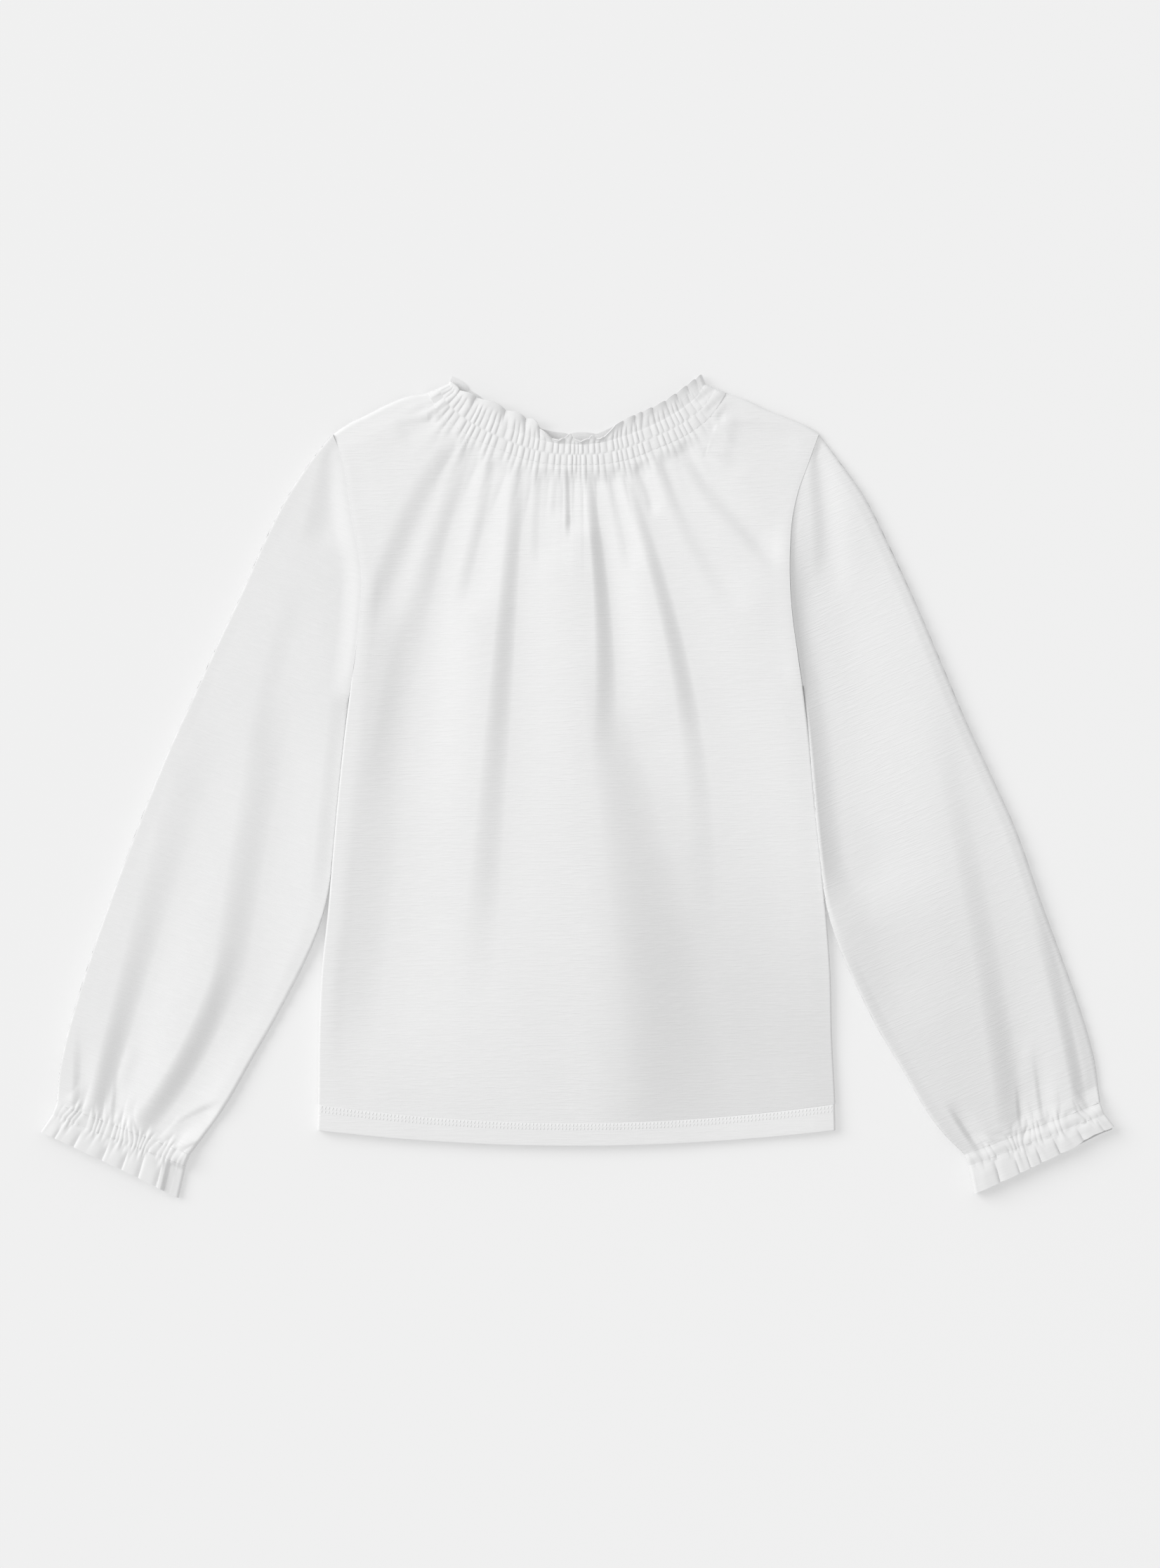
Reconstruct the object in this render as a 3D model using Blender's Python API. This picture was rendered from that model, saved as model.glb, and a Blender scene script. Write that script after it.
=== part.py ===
"""A girl's long-sleeve jersey top with an elastic-shirred neck, laid flat.

+X runs to the right sleeve, +Y to the neck, +Z up off the surface it lies on.  The origin is
the bottom centre of the whole garment.  The sizes and tables are in millimetres and the meshes
are written in metres.  The front, the sleeves and the wrist pieces are cloth walls on grids of
points, and the back pieces are flat cloths; both are worked out from the named sizes and the
tables, which have a row for each section, neck station or fold.
"""
from collections import namedtuple

import bmesh
import bpy
import numpy as np

METRES = 0.001

# Cloth and seams
CLOTH = 1.0
HEM_CLOTH = 1.8
SEAM_GAP = 0.3

# Heights of the middle of a wall above the surface
BODY_RIM = 1.8
HEM_RIM = 3.0
NECK_RIM = 2.0
FRONT_FLOOR = 2.1
SLEEVE_FLOOR = 2.3
TUBE_SIDE = 1.7
NECK_HEIGHT = 5.2
SEAM_LIFT = 2.2

# Plan of the body
SHOULDER_Y = 224.0
UNDERARM_Y = 62.0
HEM_SEAM_Y = -216.2
HEM_SEAM_RISE = 12.0
HEM_EDGE_Y = -231.2
HEM_EDGE_RISE = 10.0
HEM_HALF = 166.0
NECK_END_X = 95.5
NECK_SHARE = 0.72
SPREAD_RATE = 1.15
SLEEVE_CLEAR = 1.4
ARMHOLE_CLEAR = 1.8 * SEAM_GAP
ROW_GAP = 1.5 * SEAM_GAP
RUFFLE_GAP = 2.0 * SEAM_GAP

# Rounding of folded edges, and how far a seam's own height reaches into the cloth
SIDE_RADIUS = 9.0
SHOULDER_RADIUS = 8.0
ARMHOLE_REACH = 14.0
SLEEVE_REACH = 20.0
UNDERARM_TOP_Y = 74.0
UNDERARM_SPAN = 26.0
UNDERARM_EASE = 30.0
ARMHOLE_STATIONS = 5.0
TUBE_UNDER_RADIUS = 1.5
LEAST_BEND = 1.0
LEAST_TUBE_TOP = 3.1
CURVE_POINTS = 300

# Share of a fold's length over which it starts and fades
FOLD_START = 0.1
FOLD_FADE = 0.3
FOLD_OVERRUN = 0.05

# Shirring, ruffles and cuffs
TUCKS = 44
TUCK_HEIGHT = 0.55
PINCHED = 0.25
NECK_LOBES = 21
NECK_LOBE_HEIGHT = 1.9
NECK_LOBE_RISE = 1.4
LOBE_DRIFT = 0.07
LOBE_DRIFT_RATE = 2.6
LOBE_UNEVEN = 0.2
LOBE_UNEVEN_RATE = 5.0
RUFFLE_BACK_SHORTER = 1.5
BAND_LENGTH = 8.0
CUFF_TUCKS = 12
CUFF_TUCK_HEIGHT = 0.5
CUFF_TUCK_LIFT = 0.1
CUFF_LOBES = 8
CUFF_RADIUS = 6.0
CUFF_LOBE_HEIGHT = 1.8
CUFF_LOBE_LIFT = 0.3
CUFF_LOBE_START = 0.25
CUFF_FLARE = 3.0
CUFF_WAVE_TURN = 0.6

# Steps of the grids
NECK_STEPS = 24
SHOULDER_STEPS = 3
ARMHOLE_STEPS = 10
LOWER_STEPS = 5
SLEEVE_SECTIONS = 13
SLEEVE_OVER_STEPS = 10
SLEEVE_UNDER_STEPS = 2
TIP_POINTS = 30
QUARTER_STEPS = np.radians([0.0, 30.0, 60.0, 90.0])

# The body's side line, as distances from the centre line: armhole, then side seam
SideRow = namedtuple("SideRow", "y left right")
SIDE = [
    SideRow(-222.0, 166.0, 165.8),
    SideRow(-203.0, 165.2, 165.2),
    SideRow(-163.0, 164.8, 163.2),
    SideRow(-118.0, 162.8, 162.0),
    SideRow(-84.0, 159.2, 159.4),
    SideRow(-55.0, 156.4, 156.3),
    SideRow(-18.0, 153.1, 152.4),
    SideRow(35.0, 147.6, 147.3),
    SideRow(80.0, 141.8, 141.5),
    SideRow(109.0, 138.4, 137.6),
    SideRow(132.0, 137.0, 136.1),
    SideRow(152.0, 139.6, 136.3),
    SideRow(170.0, 143.2, 137.7),
    SideRow(188.0, 146.0, 141.6),
    SideRow(206.0, 149.0, 148.2),
    SideRow(224.0, 156.0, 154.8),
]

# The shoulder fold, from the end of the shirring to the shoulder point
ShoulderRow = namedtuple("ShoulderRow", "x left right")
SHOULDER = [
    ShoulderRow(82.0, 256.4, 256.2),
    ShoulderRow(95.5, 250.6, 250.6),
    ShoulderRow(109.0, 248.0, 245.8),
    ShoulderRow(121.0, 243.2, 240.0),
    ShoulderRow(134.0, 236.6, 235.0),
    ShoulderRow(147.0, 230.2, 229.4),
    ShoulderRow(156.0, 224.0, 224.0),
]

# The neck from its centre to a shoulder: ruffle edge, first and last shirring row
NeckRow = namedtuple("NeckRow", "a edge_x edge_y top_x top_y low_x low_y")
NECK = [
    NeckRow(0.00, 0.0, 225.8, 0.0, 217.4, 0.0, 204.4),
    NeckRow(0.16, 15.6, 226.4, 15.0, 218.6, 16.4, 204.9),
    NeckRow(0.32, 30.0, 234.0, 30.0, 222.6, 33.0, 208.0),
    NeckRow(0.48, 43.5, 239.6, 45.0, 228.4, 49.5, 214.2),
    NeckRow(0.62, 54.5, 245.2, 58.0, 234.8, 64.5, 220.6),
    NeckRow(0.76, 64.5, 251.8, 69.0, 241.8, 77.5, 228.4),
    NeckRow(0.89, 72.5, 257.6, 77.0, 248.6, 87.5, 237.6),
    NeckRow(1.00, 79.5, 262.8, 82.0, 256.3, 95.5, 250.6),
]

# Sleeve sections from the armhole to the wrist: the outer fold on each side, the height on
# the inner fold, how far that fold stands off the body's side line, and the section's form
SleeveRow = namedtuple("SleeveRow",
                       "left_x left_y right_x right_y inner_y away_left away_right "
                       "height outer_left outer_right inner_radius")
SLEEVE = [
    SleeveRow(156.0, 224.0, 154.8, 224.0, 62.0, 0.0, 0.0, 5.0, 5.0, 5.0, 5.0),
    SleeveRow(170.0, 206.5, 166.5, 208.5, 55.0, 0.0, 0.0, 6.0, 6.0, 6.0, 6.0),
    SleeveRow(187.0, 180.0, 184.3, 183.0, 44.0, 0.0, 0.0, 6.8, 7.0, 7.0, 8.0),
    SleeveRow(201.5, 150.5, 200.5, 151.0, 29.0, 0.0, 0.0, 7.2, 8.0, 7.0, 10.0),
    SleeveRow(216.0, 117.5, 216.2, 117.0, 8.0, 0.0, 0.0, 7.6, 9.0, 8.0, 11.0),
    SleeveRow(232.5, 82.5, 232.0, 80.0, -20.0, 0.0, 0.0, 8.0, 10.0, 9.0, 11.0),
    SleeveRow(250.0, 44.5, 247.7, 43.0, -50.0, 0.0, 0.0, 8.2, 11.0, 11.0, 10.0),
    SleeveRow(267.0, 5.5, 264.8, 6.0, -80.0, 2.4, 0.0, 8.5, 12.0, 14.0, 9.0),
    SleeveRow(281.5, -30.5, 281.0, -30.0, -113.0, 11.2, 9.6, 8.8, 12.0, 17.0, 9.0),
    SleeveRow(297.0, -73.0, 296.6, -74.5, -149.0, 28.0, 25.6, 9.2, 12.0, 20.0, 9.0),
    SleeveRow(309.5, -108.0, 309.8, -110.0, -179.0, 44.6, 42.2, 9.6, 12.0, 22.0, 9.0),
    SleeveRow(321.5, -147.0, 322.9, -147.0, -204.0, 58.6, 55.4, 10.0, 12.0, 22.0, 8.0),
    SleeveRow(329.3, -179.0, 331.2, -177.0, -221.0, 69.8, 67.0, 10.0, 11.0, 18.0, 7.0),
    SleeveRow(332.2, -203.8, 334.3, -203.2, -236.3, 81.3, 82.0, 9.0, 8.0, 10.0, 6.0),
]

# The wrist ruffle's edge, as distances down the arm from the end of the sleeve
CuffRow = namedtuple("CuffRow", "hand inner_reach outer_reach")
CUFFS = [
    CuffRow(-1, 29.0, 20.6),
    CuffRow(1, 25.6, 19.6),
]

# Folds: a trough's start, middle and end, its flank widths there, and the share of the
# cloth's height that it takes away.  The left flank is its steeper one.
Fold = namedtuple("Fold", "x0 y0 x1 y1 x2 y2 left right end_left end_right share")
FRONT_FOLDS = [
    Fold(-81.0, 217.0, -121.0, 145.0, -147.0, -120.0, 7.0, 9.0, 12.0, 22.0, 0.72),
    Fold(-69.5, 216.0, -88.0, 155.0, -120.0, 92.0, 6.0, 8.0, 8.0, 14.0, 0.66),
    Fold(-54.7, 206.0, -63.5, 167.0, -76.0, 120.0, 4.5, 6.0, 5.0, 9.0, 0.45),
    Fold(-37.0, 205.0, -49.0, 50.0, -80.0, -130.0, 5.0, 8.0, 12.0, 18.0, 0.78),
    Fold(-23.6, 203.0, -26.0, 176.0, -27.0, 146.0, 4.0, 5.0, 4.0, 6.0, 0.42),
    Fold(-6.5, 203.0, -6.0, 187.0, -5.6, 168.0, 3.5, 3.5, 3.5, 4.5, 0.50),
    Fold(8.5, 203.0, 16.0, 110.0, 20.0, 30.0, 5.0, 8.0, 9.0, 18.0, 0.85),
    Fold(26.0, 60.0, 42.0, -60.0, 58.0, -205.0, 12.0, 16.0, 26.0, 34.0, 0.55),
    Fold(18.7, 203.0, 26.0, 170.0, 32.0, 140.0, 3.5, 4.5, 4.0, 6.0, 0.40),
    Fold(31.3, 206.0, 62.0, 95.0, 86.0, -60.0, 5.0, 8.0, 10.0, 16.0, 0.68),
    Fold(52.0, 214.0, 70.0, 163.0, 103.0, 110.0, 4.5, 7.0, 7.0, 12.0, 0.52),
    Fold(61.0, 218.0, 92.0, 180.0, 128.0, 136.0, 4.5, 5.5, 5.0, 8.0, 0.48),
]
LEFT_SLEEVE_FOLDS = [
    Fold(-157.0, 220.0, -162.7, 191.0, -170.0, 150.0, 6.0, 6.0, 9.0, 10.0, 0.50),
    Fold(-212.0, 112.0, -246.0, 32.0, -275.0, -50.0, 7.0, 9.0, 8.0, 10.0, 0.35),
    Fold(-266.0, -60.0, -287.0, -130.0, -307.0, -214.0, 9.0, 10.0, 7.0, 7.0, 0.70),
    Fold(-198.0, 12.0, -218.5, -85.0, -277.0, -218.0, 10.0, 13.0, 10.0, 11.0, 0.85),
    Fold(-236.0, -200.0, -253.0, -212.0, -271.0, -234.0, 5.0, 5.0, 5.0, 5.0, 0.60),
]
RIGHT_SLEEVE_FOLDS = [
    Fold(154.6, 224.0, 156.0, 172.0, 160.0, 80.0, 5.0, 6.0, 9.0, 8.0, 0.45),
    Fold(235.0, 26.0, 261.0, -86.0, 284.0, -216.0, 10.0, 10.0, 9.0, 9.0, 0.68),
    Fold(292.0, -172.0, 296.0, -192.0, 301.0, -216.0, 4.0, 5.0, 4.0, 5.0, 0.55),
    Fold(241.0, -212.0, 250.0, -224.0, 263.0, -240.0, 5.0, 5.0, 5.0, 5.0, 0.55),
]

# Height of the front's ridges above the surface, from hem to neck
RidgeRow = namedtuple("RidgeRow", "y height")
RIDGES = [
    RidgeRow(-232.0, 4.6),
    RidgeRow(-190.0, 6.0),
    RidgeRow(-60.0, 7.6),
    RidgeRow(80.0, 8.0),
    RidgeRow(170.0, 7.0),
    RidgeRow(206.0, 5.6),
    RidgeRow(262.0, 5.2),
]

# Heights of the wrist pieces' upper cloth, down the arm
ELASTIC_HEIGHTS = np.array([8.6, 7.6, 8.0])
CUFF_RUFFLE_HEIGHTS = np.array([8.0, 8.4, 8.6])
HALFWAY = np.array([0.0, 0.5, 1.0])

Tone = namedtuple("Tone", "red green blue rough")
JERSEY = Tone(0.86, 0.86, 0.86, 0.92)
SHIRRED = Tone(0.84, 0.84, 0.84, 0.94)
HEM = Tone(0.88, 0.88, 0.88, 0.90)


def column(rows, name):
    """One named column of a table, as an array."""
    return np.array([getattr(row, name) for row in rows], float)


def smooth(knots, values, at):
    """A soft curve through a table's values, with slopes from the neighbouring rows."""
    slopes = np.gradient(values, knots)
    at = np.clip(at, knots[0], knots[-1])
    low = np.clip(np.searchsorted(knots, at, side="right") - 1, 0, len(knots) - 2)
    span = knots[low + 1] - knots[low]
    u = (at - knots[low]) / span
    start = (2 * u**3 - 3 * u**2 + 1) * values[low] + (u**3 - 2 * u**2 + u) * span * slopes[low]
    end = (3 * u**2 - 2 * u**3) * values[low + 1] + (u**3 - u**2) * span * slopes[low + 1]
    return start + end


def ease(u):
    """A soft step from 0 to 1."""
    u = np.clip(u, 0.0, 1.0)
    return u * u * (3.0 - 2.0 * u)


def mix(a, b, u):
    """The value a share u of the way from a to b."""
    return a + (b - a) * u


def round_over(distance, radius):
    """Quarter-round rise: 0 at a folded edge, 1 at a radius inside it."""
    u = 1.0 - np.clip(distance / radius, 0.0, 1.0)
    return np.sqrt(1.0 - u * u)


def distance_to(x, y, curve):
    """Shortest distance in plan from each point to a densely sampled curve."""
    dx = x[..., None] - curve[:, 0]
    dy = y[..., None] - curve[:, 1]
    return np.sqrt((dx * dx + dy * dy).min(axis=-1))


def side_x(y, hand):
    """Distance of the body's side line from the centre line; hand is -1 left, 1 right."""
    name = "left" if hand < 0 else "right"
    return smooth(column(SIDE, "y"), column(SIDE, name), y)


def shoulder_y(x, hand):
    """Height of the shoulder fold at a distance x from the centre line."""
    name = "left" if hand < 0 else "right"
    return smooth(column(SHOULDER, "x"), column(SHOULDER, name), x)


def shoulder_fold(hand):
    """The shoulder fold as a dense curve, from the ruffle to the shoulder point."""
    x = np.linspace(SHOULDER[0].x, side_x(SHOULDER_Y, hand), CURVE_POINTS)
    return np.stack([hand * x, shoulder_y(x, hand)], axis=1)


def both_shoulders():
    """The two shoulder folds as one set of points."""
    return np.concatenate([shoulder_fold(-1), shoulder_fold(1)])


def neck_line(a, name):
    """A line along the neck; a runs from -1 at the left shoulder to 1 at the right."""
    x = np.sign(a) * smooth(column(NECK, "a"), column(NECK, name + "_x"), np.abs(a))
    y = smooth(column(NECK, "a"), column(NECK, name + "_y"), np.abs(a))
    return x, y


def last_row(a):
    """The last shirring row, in the same straight steps as the panel below it."""
    knots = np.linspace(0.0, 1.0, NECK_STEPS // 2 + 1)
    knot_x, knot_y = neck_line(knots, "low")
    return np.sign(a) * np.interp(np.abs(a), knots, knot_x), np.interp(np.abs(a), knots, knot_y)


def body_top(q):
    """The body's upper line: the last shirring row, then the shoulder folds.

    q runs from -1 at the left shoulder point to 1 at the right one.
    """
    hand = np.sign(q)
    share = np.abs(q)
    neck_x, neck_y = last_row(np.clip(q / NECK_SHARE, -1.0, 1.0))
    out = np.clip((share - NECK_SHARE) / (1.0 - NECK_SHARE), 0.0, 1.0)
    tip = np.where(hand < 0, side_x(SHOULDER_Y, -1), side_x(SHOULDER_Y, 1))
    x = mix(NECK_END_X, tip, out)
    y = np.where(hand < 0, shoulder_y(x, -1), shoulder_y(x, 1))
    on_neck = share <= NECK_SHARE
    return np.where(on_neck, neck_x, hand * x), np.where(on_neck, neck_y, y)


def body_half(y, q):
    """Distance of the side line on the side that q lies on."""
    return np.where(q < 0, side_x(y, -1), side_x(y, 1))


def hem_line(x, centre, rise):
    """A line of the hem, lowest at the centre."""
    return centre + rise * (np.abs(x) / HEM_HALF) ** 2


def body_plan(q, f):
    """Plan points of a body panel: q across, f from the upper line down to the hem seam."""
    q = q[:, None]
    f = f[None, :]
    top_x, top_y = body_top(q)
    low_y = hem_line(q * HEM_HALF, HEM_SEAM_Y, HEM_SEAM_RISE) + SEAM_GAP / 2
    y = mix(top_y, low_y, f)
    start = np.abs(top_x) / body_half(top_y, q)
    across = mix(start, np.abs(q), ease(SPREAD_RATE * f))
    half = body_half(y, q)
    return np.sign(q) * across * half, y, (1.0 - across) * half


def fold_share(x, y, folds):
    """Share of the cloth's height left at each point after all the folds."""
    left = np.ones_like(x)
    for fold in folds:
        u = np.clip((fold.y0 - y) / (fold.y0 - fold.y2), -FOLD_START, 1.0 + FOLD_START)
        mid = (fold.y0 - fold.y1) / (fold.y0 - fold.y2)
        bend = (fold.x1 - mix(fold.x0, fold.x2, mid)) / (mid * (1.0 - mid))
        path = mix(fold.x0, fold.x2, u) + bend * u * (1.0 - u)
        lean = ((fold.x2 - fold.x0) + bend * (1.0 - 2.0 * u)) / (fold.y0 - fold.y2)
        off = (x - path) / np.sqrt(1.0 + lean * lean)
        start_width = np.where(off < 0, fold.left, fold.right)
        end_width = np.where(off < 0, fold.end_left, fold.end_right)
        width = mix(start_width, end_width, np.clip(u, 0.0, 1.0))
        along = ease((u + FOLD_OVERRUN) / FOLD_START) * ease((1.0 + FOLD_OVERRUN - u) / FOLD_FADE)
        left = left * (1.0 - fold.share * along * np.exp(-(off / width) ** 2))
    return left


def side_closed(y):
    """0 along the armhole, where the side is open to the sleeve; 1 at the side seam."""
    return ease((UNDERARM_TOP_Y - y) / UNDERARM_SPAN)


def armhole_z(y):
    """Height of the armhole seam, a little raised between shoulder and underarm."""
    u = np.clip((y - UNDERARM_Y) / (SHOULDER_Y - UNDERARM_Y), 0.0, 1.0)
    return SLEEVE_FLOOR + SEAM_LIFT * 4.0 * u * (1.0 - u)


def front_z(x, y, off_side, folds):
    """Height of the front's cloth, with its folds, rounded sides and shoulder folds."""
    ridge = smooth(column(RIDGES, "y"), column(RIDGES, "height"), y)
    full = FRONT_FLOOR + (ridge - FRONT_FLOOR) * fold_share(x, y, folds)
    seam = armhole_z(y)
    opened = mix(seam, full, ease(off_side / ARMHOLE_REACH))
    closed = mix(BODY_RIM, full, round_over(off_side, SIDE_RADIUS))
    z = mix(opened, closed, side_closed(y))
    return mix(BODY_RIM, z, round_over(distance_to(x, y, both_shoulders()), SHOULDER_RADIUS))


def panel_rows(first):
    """Rows down a body panel: close along the armhole, wide below the underarm."""
    armhole = (SHOULDER_Y - UNDERARM_Y) / (SHOULDER_Y - HEM_SEAM_Y - HEM_SEAM_RISE)
    upper = np.linspace(first[-1], armhole, ARMHOLE_STEPS + 1)[1:]
    lower = np.linspace(armhole, 1.0, LOWER_STEPS + 1)[1:]
    return np.concatenate([first, upper, lower])


def edge_shares(radius, length):
    """Shares of a length at which a rounded edge is cut, from the edge inwards."""
    return radius * (1.0 - np.cos(QUARTER_STEPS)) / length


def panel_columns():
    """Columns across the front, with one at each end of the shirring."""
    edge = 1.0 - edge_shares(SIDE_RADIUS, HEM_HALF)
    shoulder = np.linspace(NECK_SHARE, edge[-1], SHOULDER_STEPS + 1)[1:]
    right = np.concatenate([shoulder, edge[:-1][::-1]])
    neck = np.linspace(-NECK_SHARE, NECK_SHARE, NECK_STEPS + 1)
    return np.concatenate([-right[::-1], neck, right])


def grid_normals(points, closed):
    """Unit normals of a grid of points; closed wraps the first direction."""
    if closed:
        across = np.roll(points, -1, axis=0) - np.roll(points, 1, axis=0)
    else:
        across = np.gradient(points, axis=0)
    along = np.gradient(points, axis=1)
    normals = np.cross(across, along)
    return normals / np.linalg.norm(normals, axis=2, keepdims=True)


def wall_faces(rows, columns, closed):
    """Faces of a wall whose first half of the points is one side and second the other."""
    size = rows * columns
    steps = rows if closed else rows - 1
    faces = []
    for i in range(steps):
        k = (i + 1) % rows
        for j in range(columns - 1):
            quad = [i * columns + j, k * columns + j, k * columns + j + 1, i * columns + j + 1]
            faces.append(quad)
            faces.append([size + corner for corner in reversed(quad)])
        for j in (0, columns - 1):
            a = i * columns + j
            b = k * columns + j
            faces.append([a, size + a, size + b, b])
    if not closed:
        for i in (0, rows - 1):
            for j in range(columns - 1):
                a = i * columns + j
                faces.append([a, a + 1, size + a + 1, size + a])
    return faces


def material(name, tone):
    """A matt cloth material of one tone."""
    made = bpy.data.materials.new(name + "_cloth")
    made.use_nodes = True
    shader = made.node_tree.nodes["Principled BSDF"]
    shader.inputs["Base Color"].default_value = (tone.red, tone.green, tone.blue, 1.0)
    shader.inputs["Roughness"].default_value = tone.rough
    shader.inputs["Metallic"].default_value = 0.0
    return made


def add_cloth(name, corners, faces, tone):
    """An object of one cloth, from points in millimetres and faces between them."""
    mesh = bpy.data.meshes.new(name)
    mesh.from_pydata((corners * METRES).tolist(), [], faces)
    shape = bmesh.new()
    shape.from_mesh(mesh)
    bmesh.ops.recalc_face_normals(shape, faces=shape.faces)
    for face in shape.faces:
        face.smooth = True
    shape.to_mesh(mesh)
    shape.free()
    mesh.materials.append(material(name, tone))
    made = bpy.data.objects.new(name, mesh)
    bpy.context.collection.objects.link(made)
    return made


def make_wall(name, x, y, z, thickness, tone, closed=False):
    """A cloth wall of even thickness whose middle lies on a grid of points."""
    points = np.stack(np.broadcast_arrays(x, y, z), axis=-1)
    half = grid_normals(points, closed) * thickness / 2
    corners = np.concatenate([(points + half).reshape(-1, 3), (points - half).reshape(-1, 3)])
    faces = wall_faces(points.shape[0], points.shape[1], closed)
    return add_cloth(name, corners, faces, tone)


def make_flat(name, x, y, thickness, tone):
    """A flat cloth on the surface, cut along the closed outline of points x, y."""
    count = len(x)
    low = np.stack([x, y, np.zeros(count)], axis=1)
    corners = np.concatenate([low + [0.0, 0.0, thickness], low])
    top = list(range(count))
    faces = [top, [count + corner for corner in reversed(top)]]
    for corner in top:
        after = (corner + 1) % count
        faces.append([corner, count + corner, count + after, after])
    return add_cloth(name, corners, faces, tone)


def around(x, y):
    """The outline of a grid of plan points, once round."""
    def ring(values):
        parts = [values[:, 0], values[-1, 1:], values[:-1, -1][::-1], values[0, 1:-1][::-1]]
        return np.concatenate(parts)
    return ring(x), ring(y)


def make_front():
    """Front panel: gathered under the shirring, its long folds running to the hem."""
    q = panel_columns()
    f = panel_rows(edge_shares(SHOULDER_RADIUS, SHOULDER_Y - HEM_SEAM_Y))
    x, y, off_side = body_plan(q, f)
    z = front_z(x, y, off_side, FRONT_FOLDS)
    return make_wall("front", x, y, z, CLOTH, JERSEY)


def make_back():
    """Back panel, flat on the surface under the front."""
    x, y, off_side = body_plan(panel_columns(), panel_rows(np.zeros(1)))
    rim = np.where(off_side < SEAM_GAP, np.sign(x) * side_closed(y) * CLOTH / 2, 0.0)
    return make_flat("back", *around(x + rim, y), CLOTH, JERSEY)


def hem_grid(q, f):
    """Plan of the hem below its seam."""
    q = q[:, None]
    f = f[None, :]
    x = q * body_half(np.full_like(q, SIDE[0].y), q)
    seam = hem_line(x, HEM_SEAM_Y, HEM_SEAM_RISE) - SEAM_GAP / 2
    edge = hem_line(x, HEM_EDGE_Y, HEM_EDGE_RISE)
    y = mix(seam, edge, f)
    return q * body_half(y, q), y


def make_hem_front():
    """Turned-up hem of the front, two cloths thick."""
    q = panel_columns()
    x, y = hem_grid(q, np.linspace(0.0, 1.0, 2))
    off_side = (1.0 - np.abs(q))[:, None] * HEM_HALF
    full = front_z(x, y, np.full_like(x, HEM_HALF), FRONT_FOLDS) + (HEM_CLOTH - CLOTH) / 2
    z = mix(HEM_RIM, np.maximum(full, HEM_RIM), round_over(off_side, SIDE_RADIUS))
    return make_wall("hem_front", x, y, z, HEM_CLOTH, HEM)


def make_hem_back():
    """Turned-up hem of the back, flat on the surface."""
    q = panel_columns()
    x, y = hem_grid(q, np.linspace(0.0, 1.0, 2))
    rim = np.where(np.abs(q) == 1.0, np.sign(q) * CLOTH / 2, 0.0)[:, None]
    return make_flat("hem_back", *around(x + rim, y), HEM_CLOTH, HEM)


def neck_share(x, y):
    """Rise of the neck pieces from the shoulder folds inwards."""
    ends = both_shoulders()
    end = NECK[-1]
    tips = [np.linspace((hand * end.top_x, end.top_y), (hand * end.edge_x, end.edge_y), TIP_POINTS)
            for hand in (-1, 1)]
    return round_over(distance_to(x, y, np.concatenate([ends] + tips)), SHOULDER_RADIUS)


def shirring_plan(a, b):
    """Plan of the shirred band: b runs from its first row to just above its last."""
    top_x, top_y = neck_line(a, "top")
    low_x, low_y = last_row(a)
    share = b * (1.0 - ROW_GAP / np.hypot(low_x - top_x, low_y - top_y))
    return mix(top_x, low_x, share), mix(top_y, low_y, share)


def make_neck_shirring_front():
    """Front of the shirred band: two bands of small tucks, pinched at the middle row."""
    a = np.linspace(-1.0, 1.0, TUCKS * 2 + 1)[:, None]
    tuck = np.where(np.arange(TUCKS * 2 + 1) % 2 == 0, -1.0, 1.0)[:, None]
    x, y = shirring_plan(a, HALFWAY[None, :])
    full = NECK_HEIGHT + TUCK_HEIGHT * tuck * np.array([1.0, PINCHED, 1.0])
    z = mix(NECK_RIM, full, neck_share(x, y))
    return make_wall("neck_shirring_front", x, y, z, CLOTH, SHIRRED)


def make_neck_shirring_back():
    """Back of the shirred band, flat under the front one."""
    a = np.linspace(-1.0, 1.0, NECK_STEPS + 1)[:, None]
    x, y = shirring_plan(a, np.array([0.0, 1.0])[None, :])
    return make_flat("neck_shirring_back", *around(x, y), CLOTH, SHIRRED)


def ruffle_plan(a, b, shorter):
    """Plan of the neck ruffle: b runs from the first shirring row to the edge."""
    top_x, top_y = neck_line(a, "top")
    edge_x, edge_y = neck_line(a, "edge")
    length = np.hypot(edge_x - top_x, edge_y - top_y)
    share = mix(RUFFLE_GAP / length, 1.0 - shorter / length, b)
    return mix(top_x, edge_x, share), mix(top_y, edge_y, share)


def make_neck_ruffle_front():
    """Front ruffle above the shirring, in small lobes that grow to the edge."""
    a = np.linspace(-1.0, 1.0, NECK_LOBES * 4 + 1)[:, None]
    b = np.array([0.0, 1.0])[None, :]
    x, y = ruffle_plan(a, b, 0.0)
    lobe = np.sin(np.pi * NECK_LOBES * (a + LOBE_DRIFT * np.sin(LOBE_DRIFT_RATE * a)))
    uneven = 1.0 - LOBE_UNEVEN * (1.0 - np.sin(LOBE_UNEVEN_RATE * a))
    full = NECK_HEIGHT + b * (NECK_LOBE_RISE + NECK_LOBE_HEIGHT * lobe * uneven)
    z = mix(NECK_RIM + SEAM_GAP, full, neck_share(x, y))
    return make_wall("neck_ruffle_front", x, y, z, CLOTH, SHIRRED)


def make_neck_ruffle_back():
    """Back ruffle, flat and hidden under the front one, and a little shorter."""
    a = np.linspace(-1.0, 1.0, NECK_STEPS + 1)[:, None]
    x, y = ruffle_plan(a, np.array([0.0, 1.0])[None, :], RUFFLE_BACK_SHORTER)
    return make_flat("neck_ruffle_back", *around(x, y), CLOTH, SHIRRED)


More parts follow.
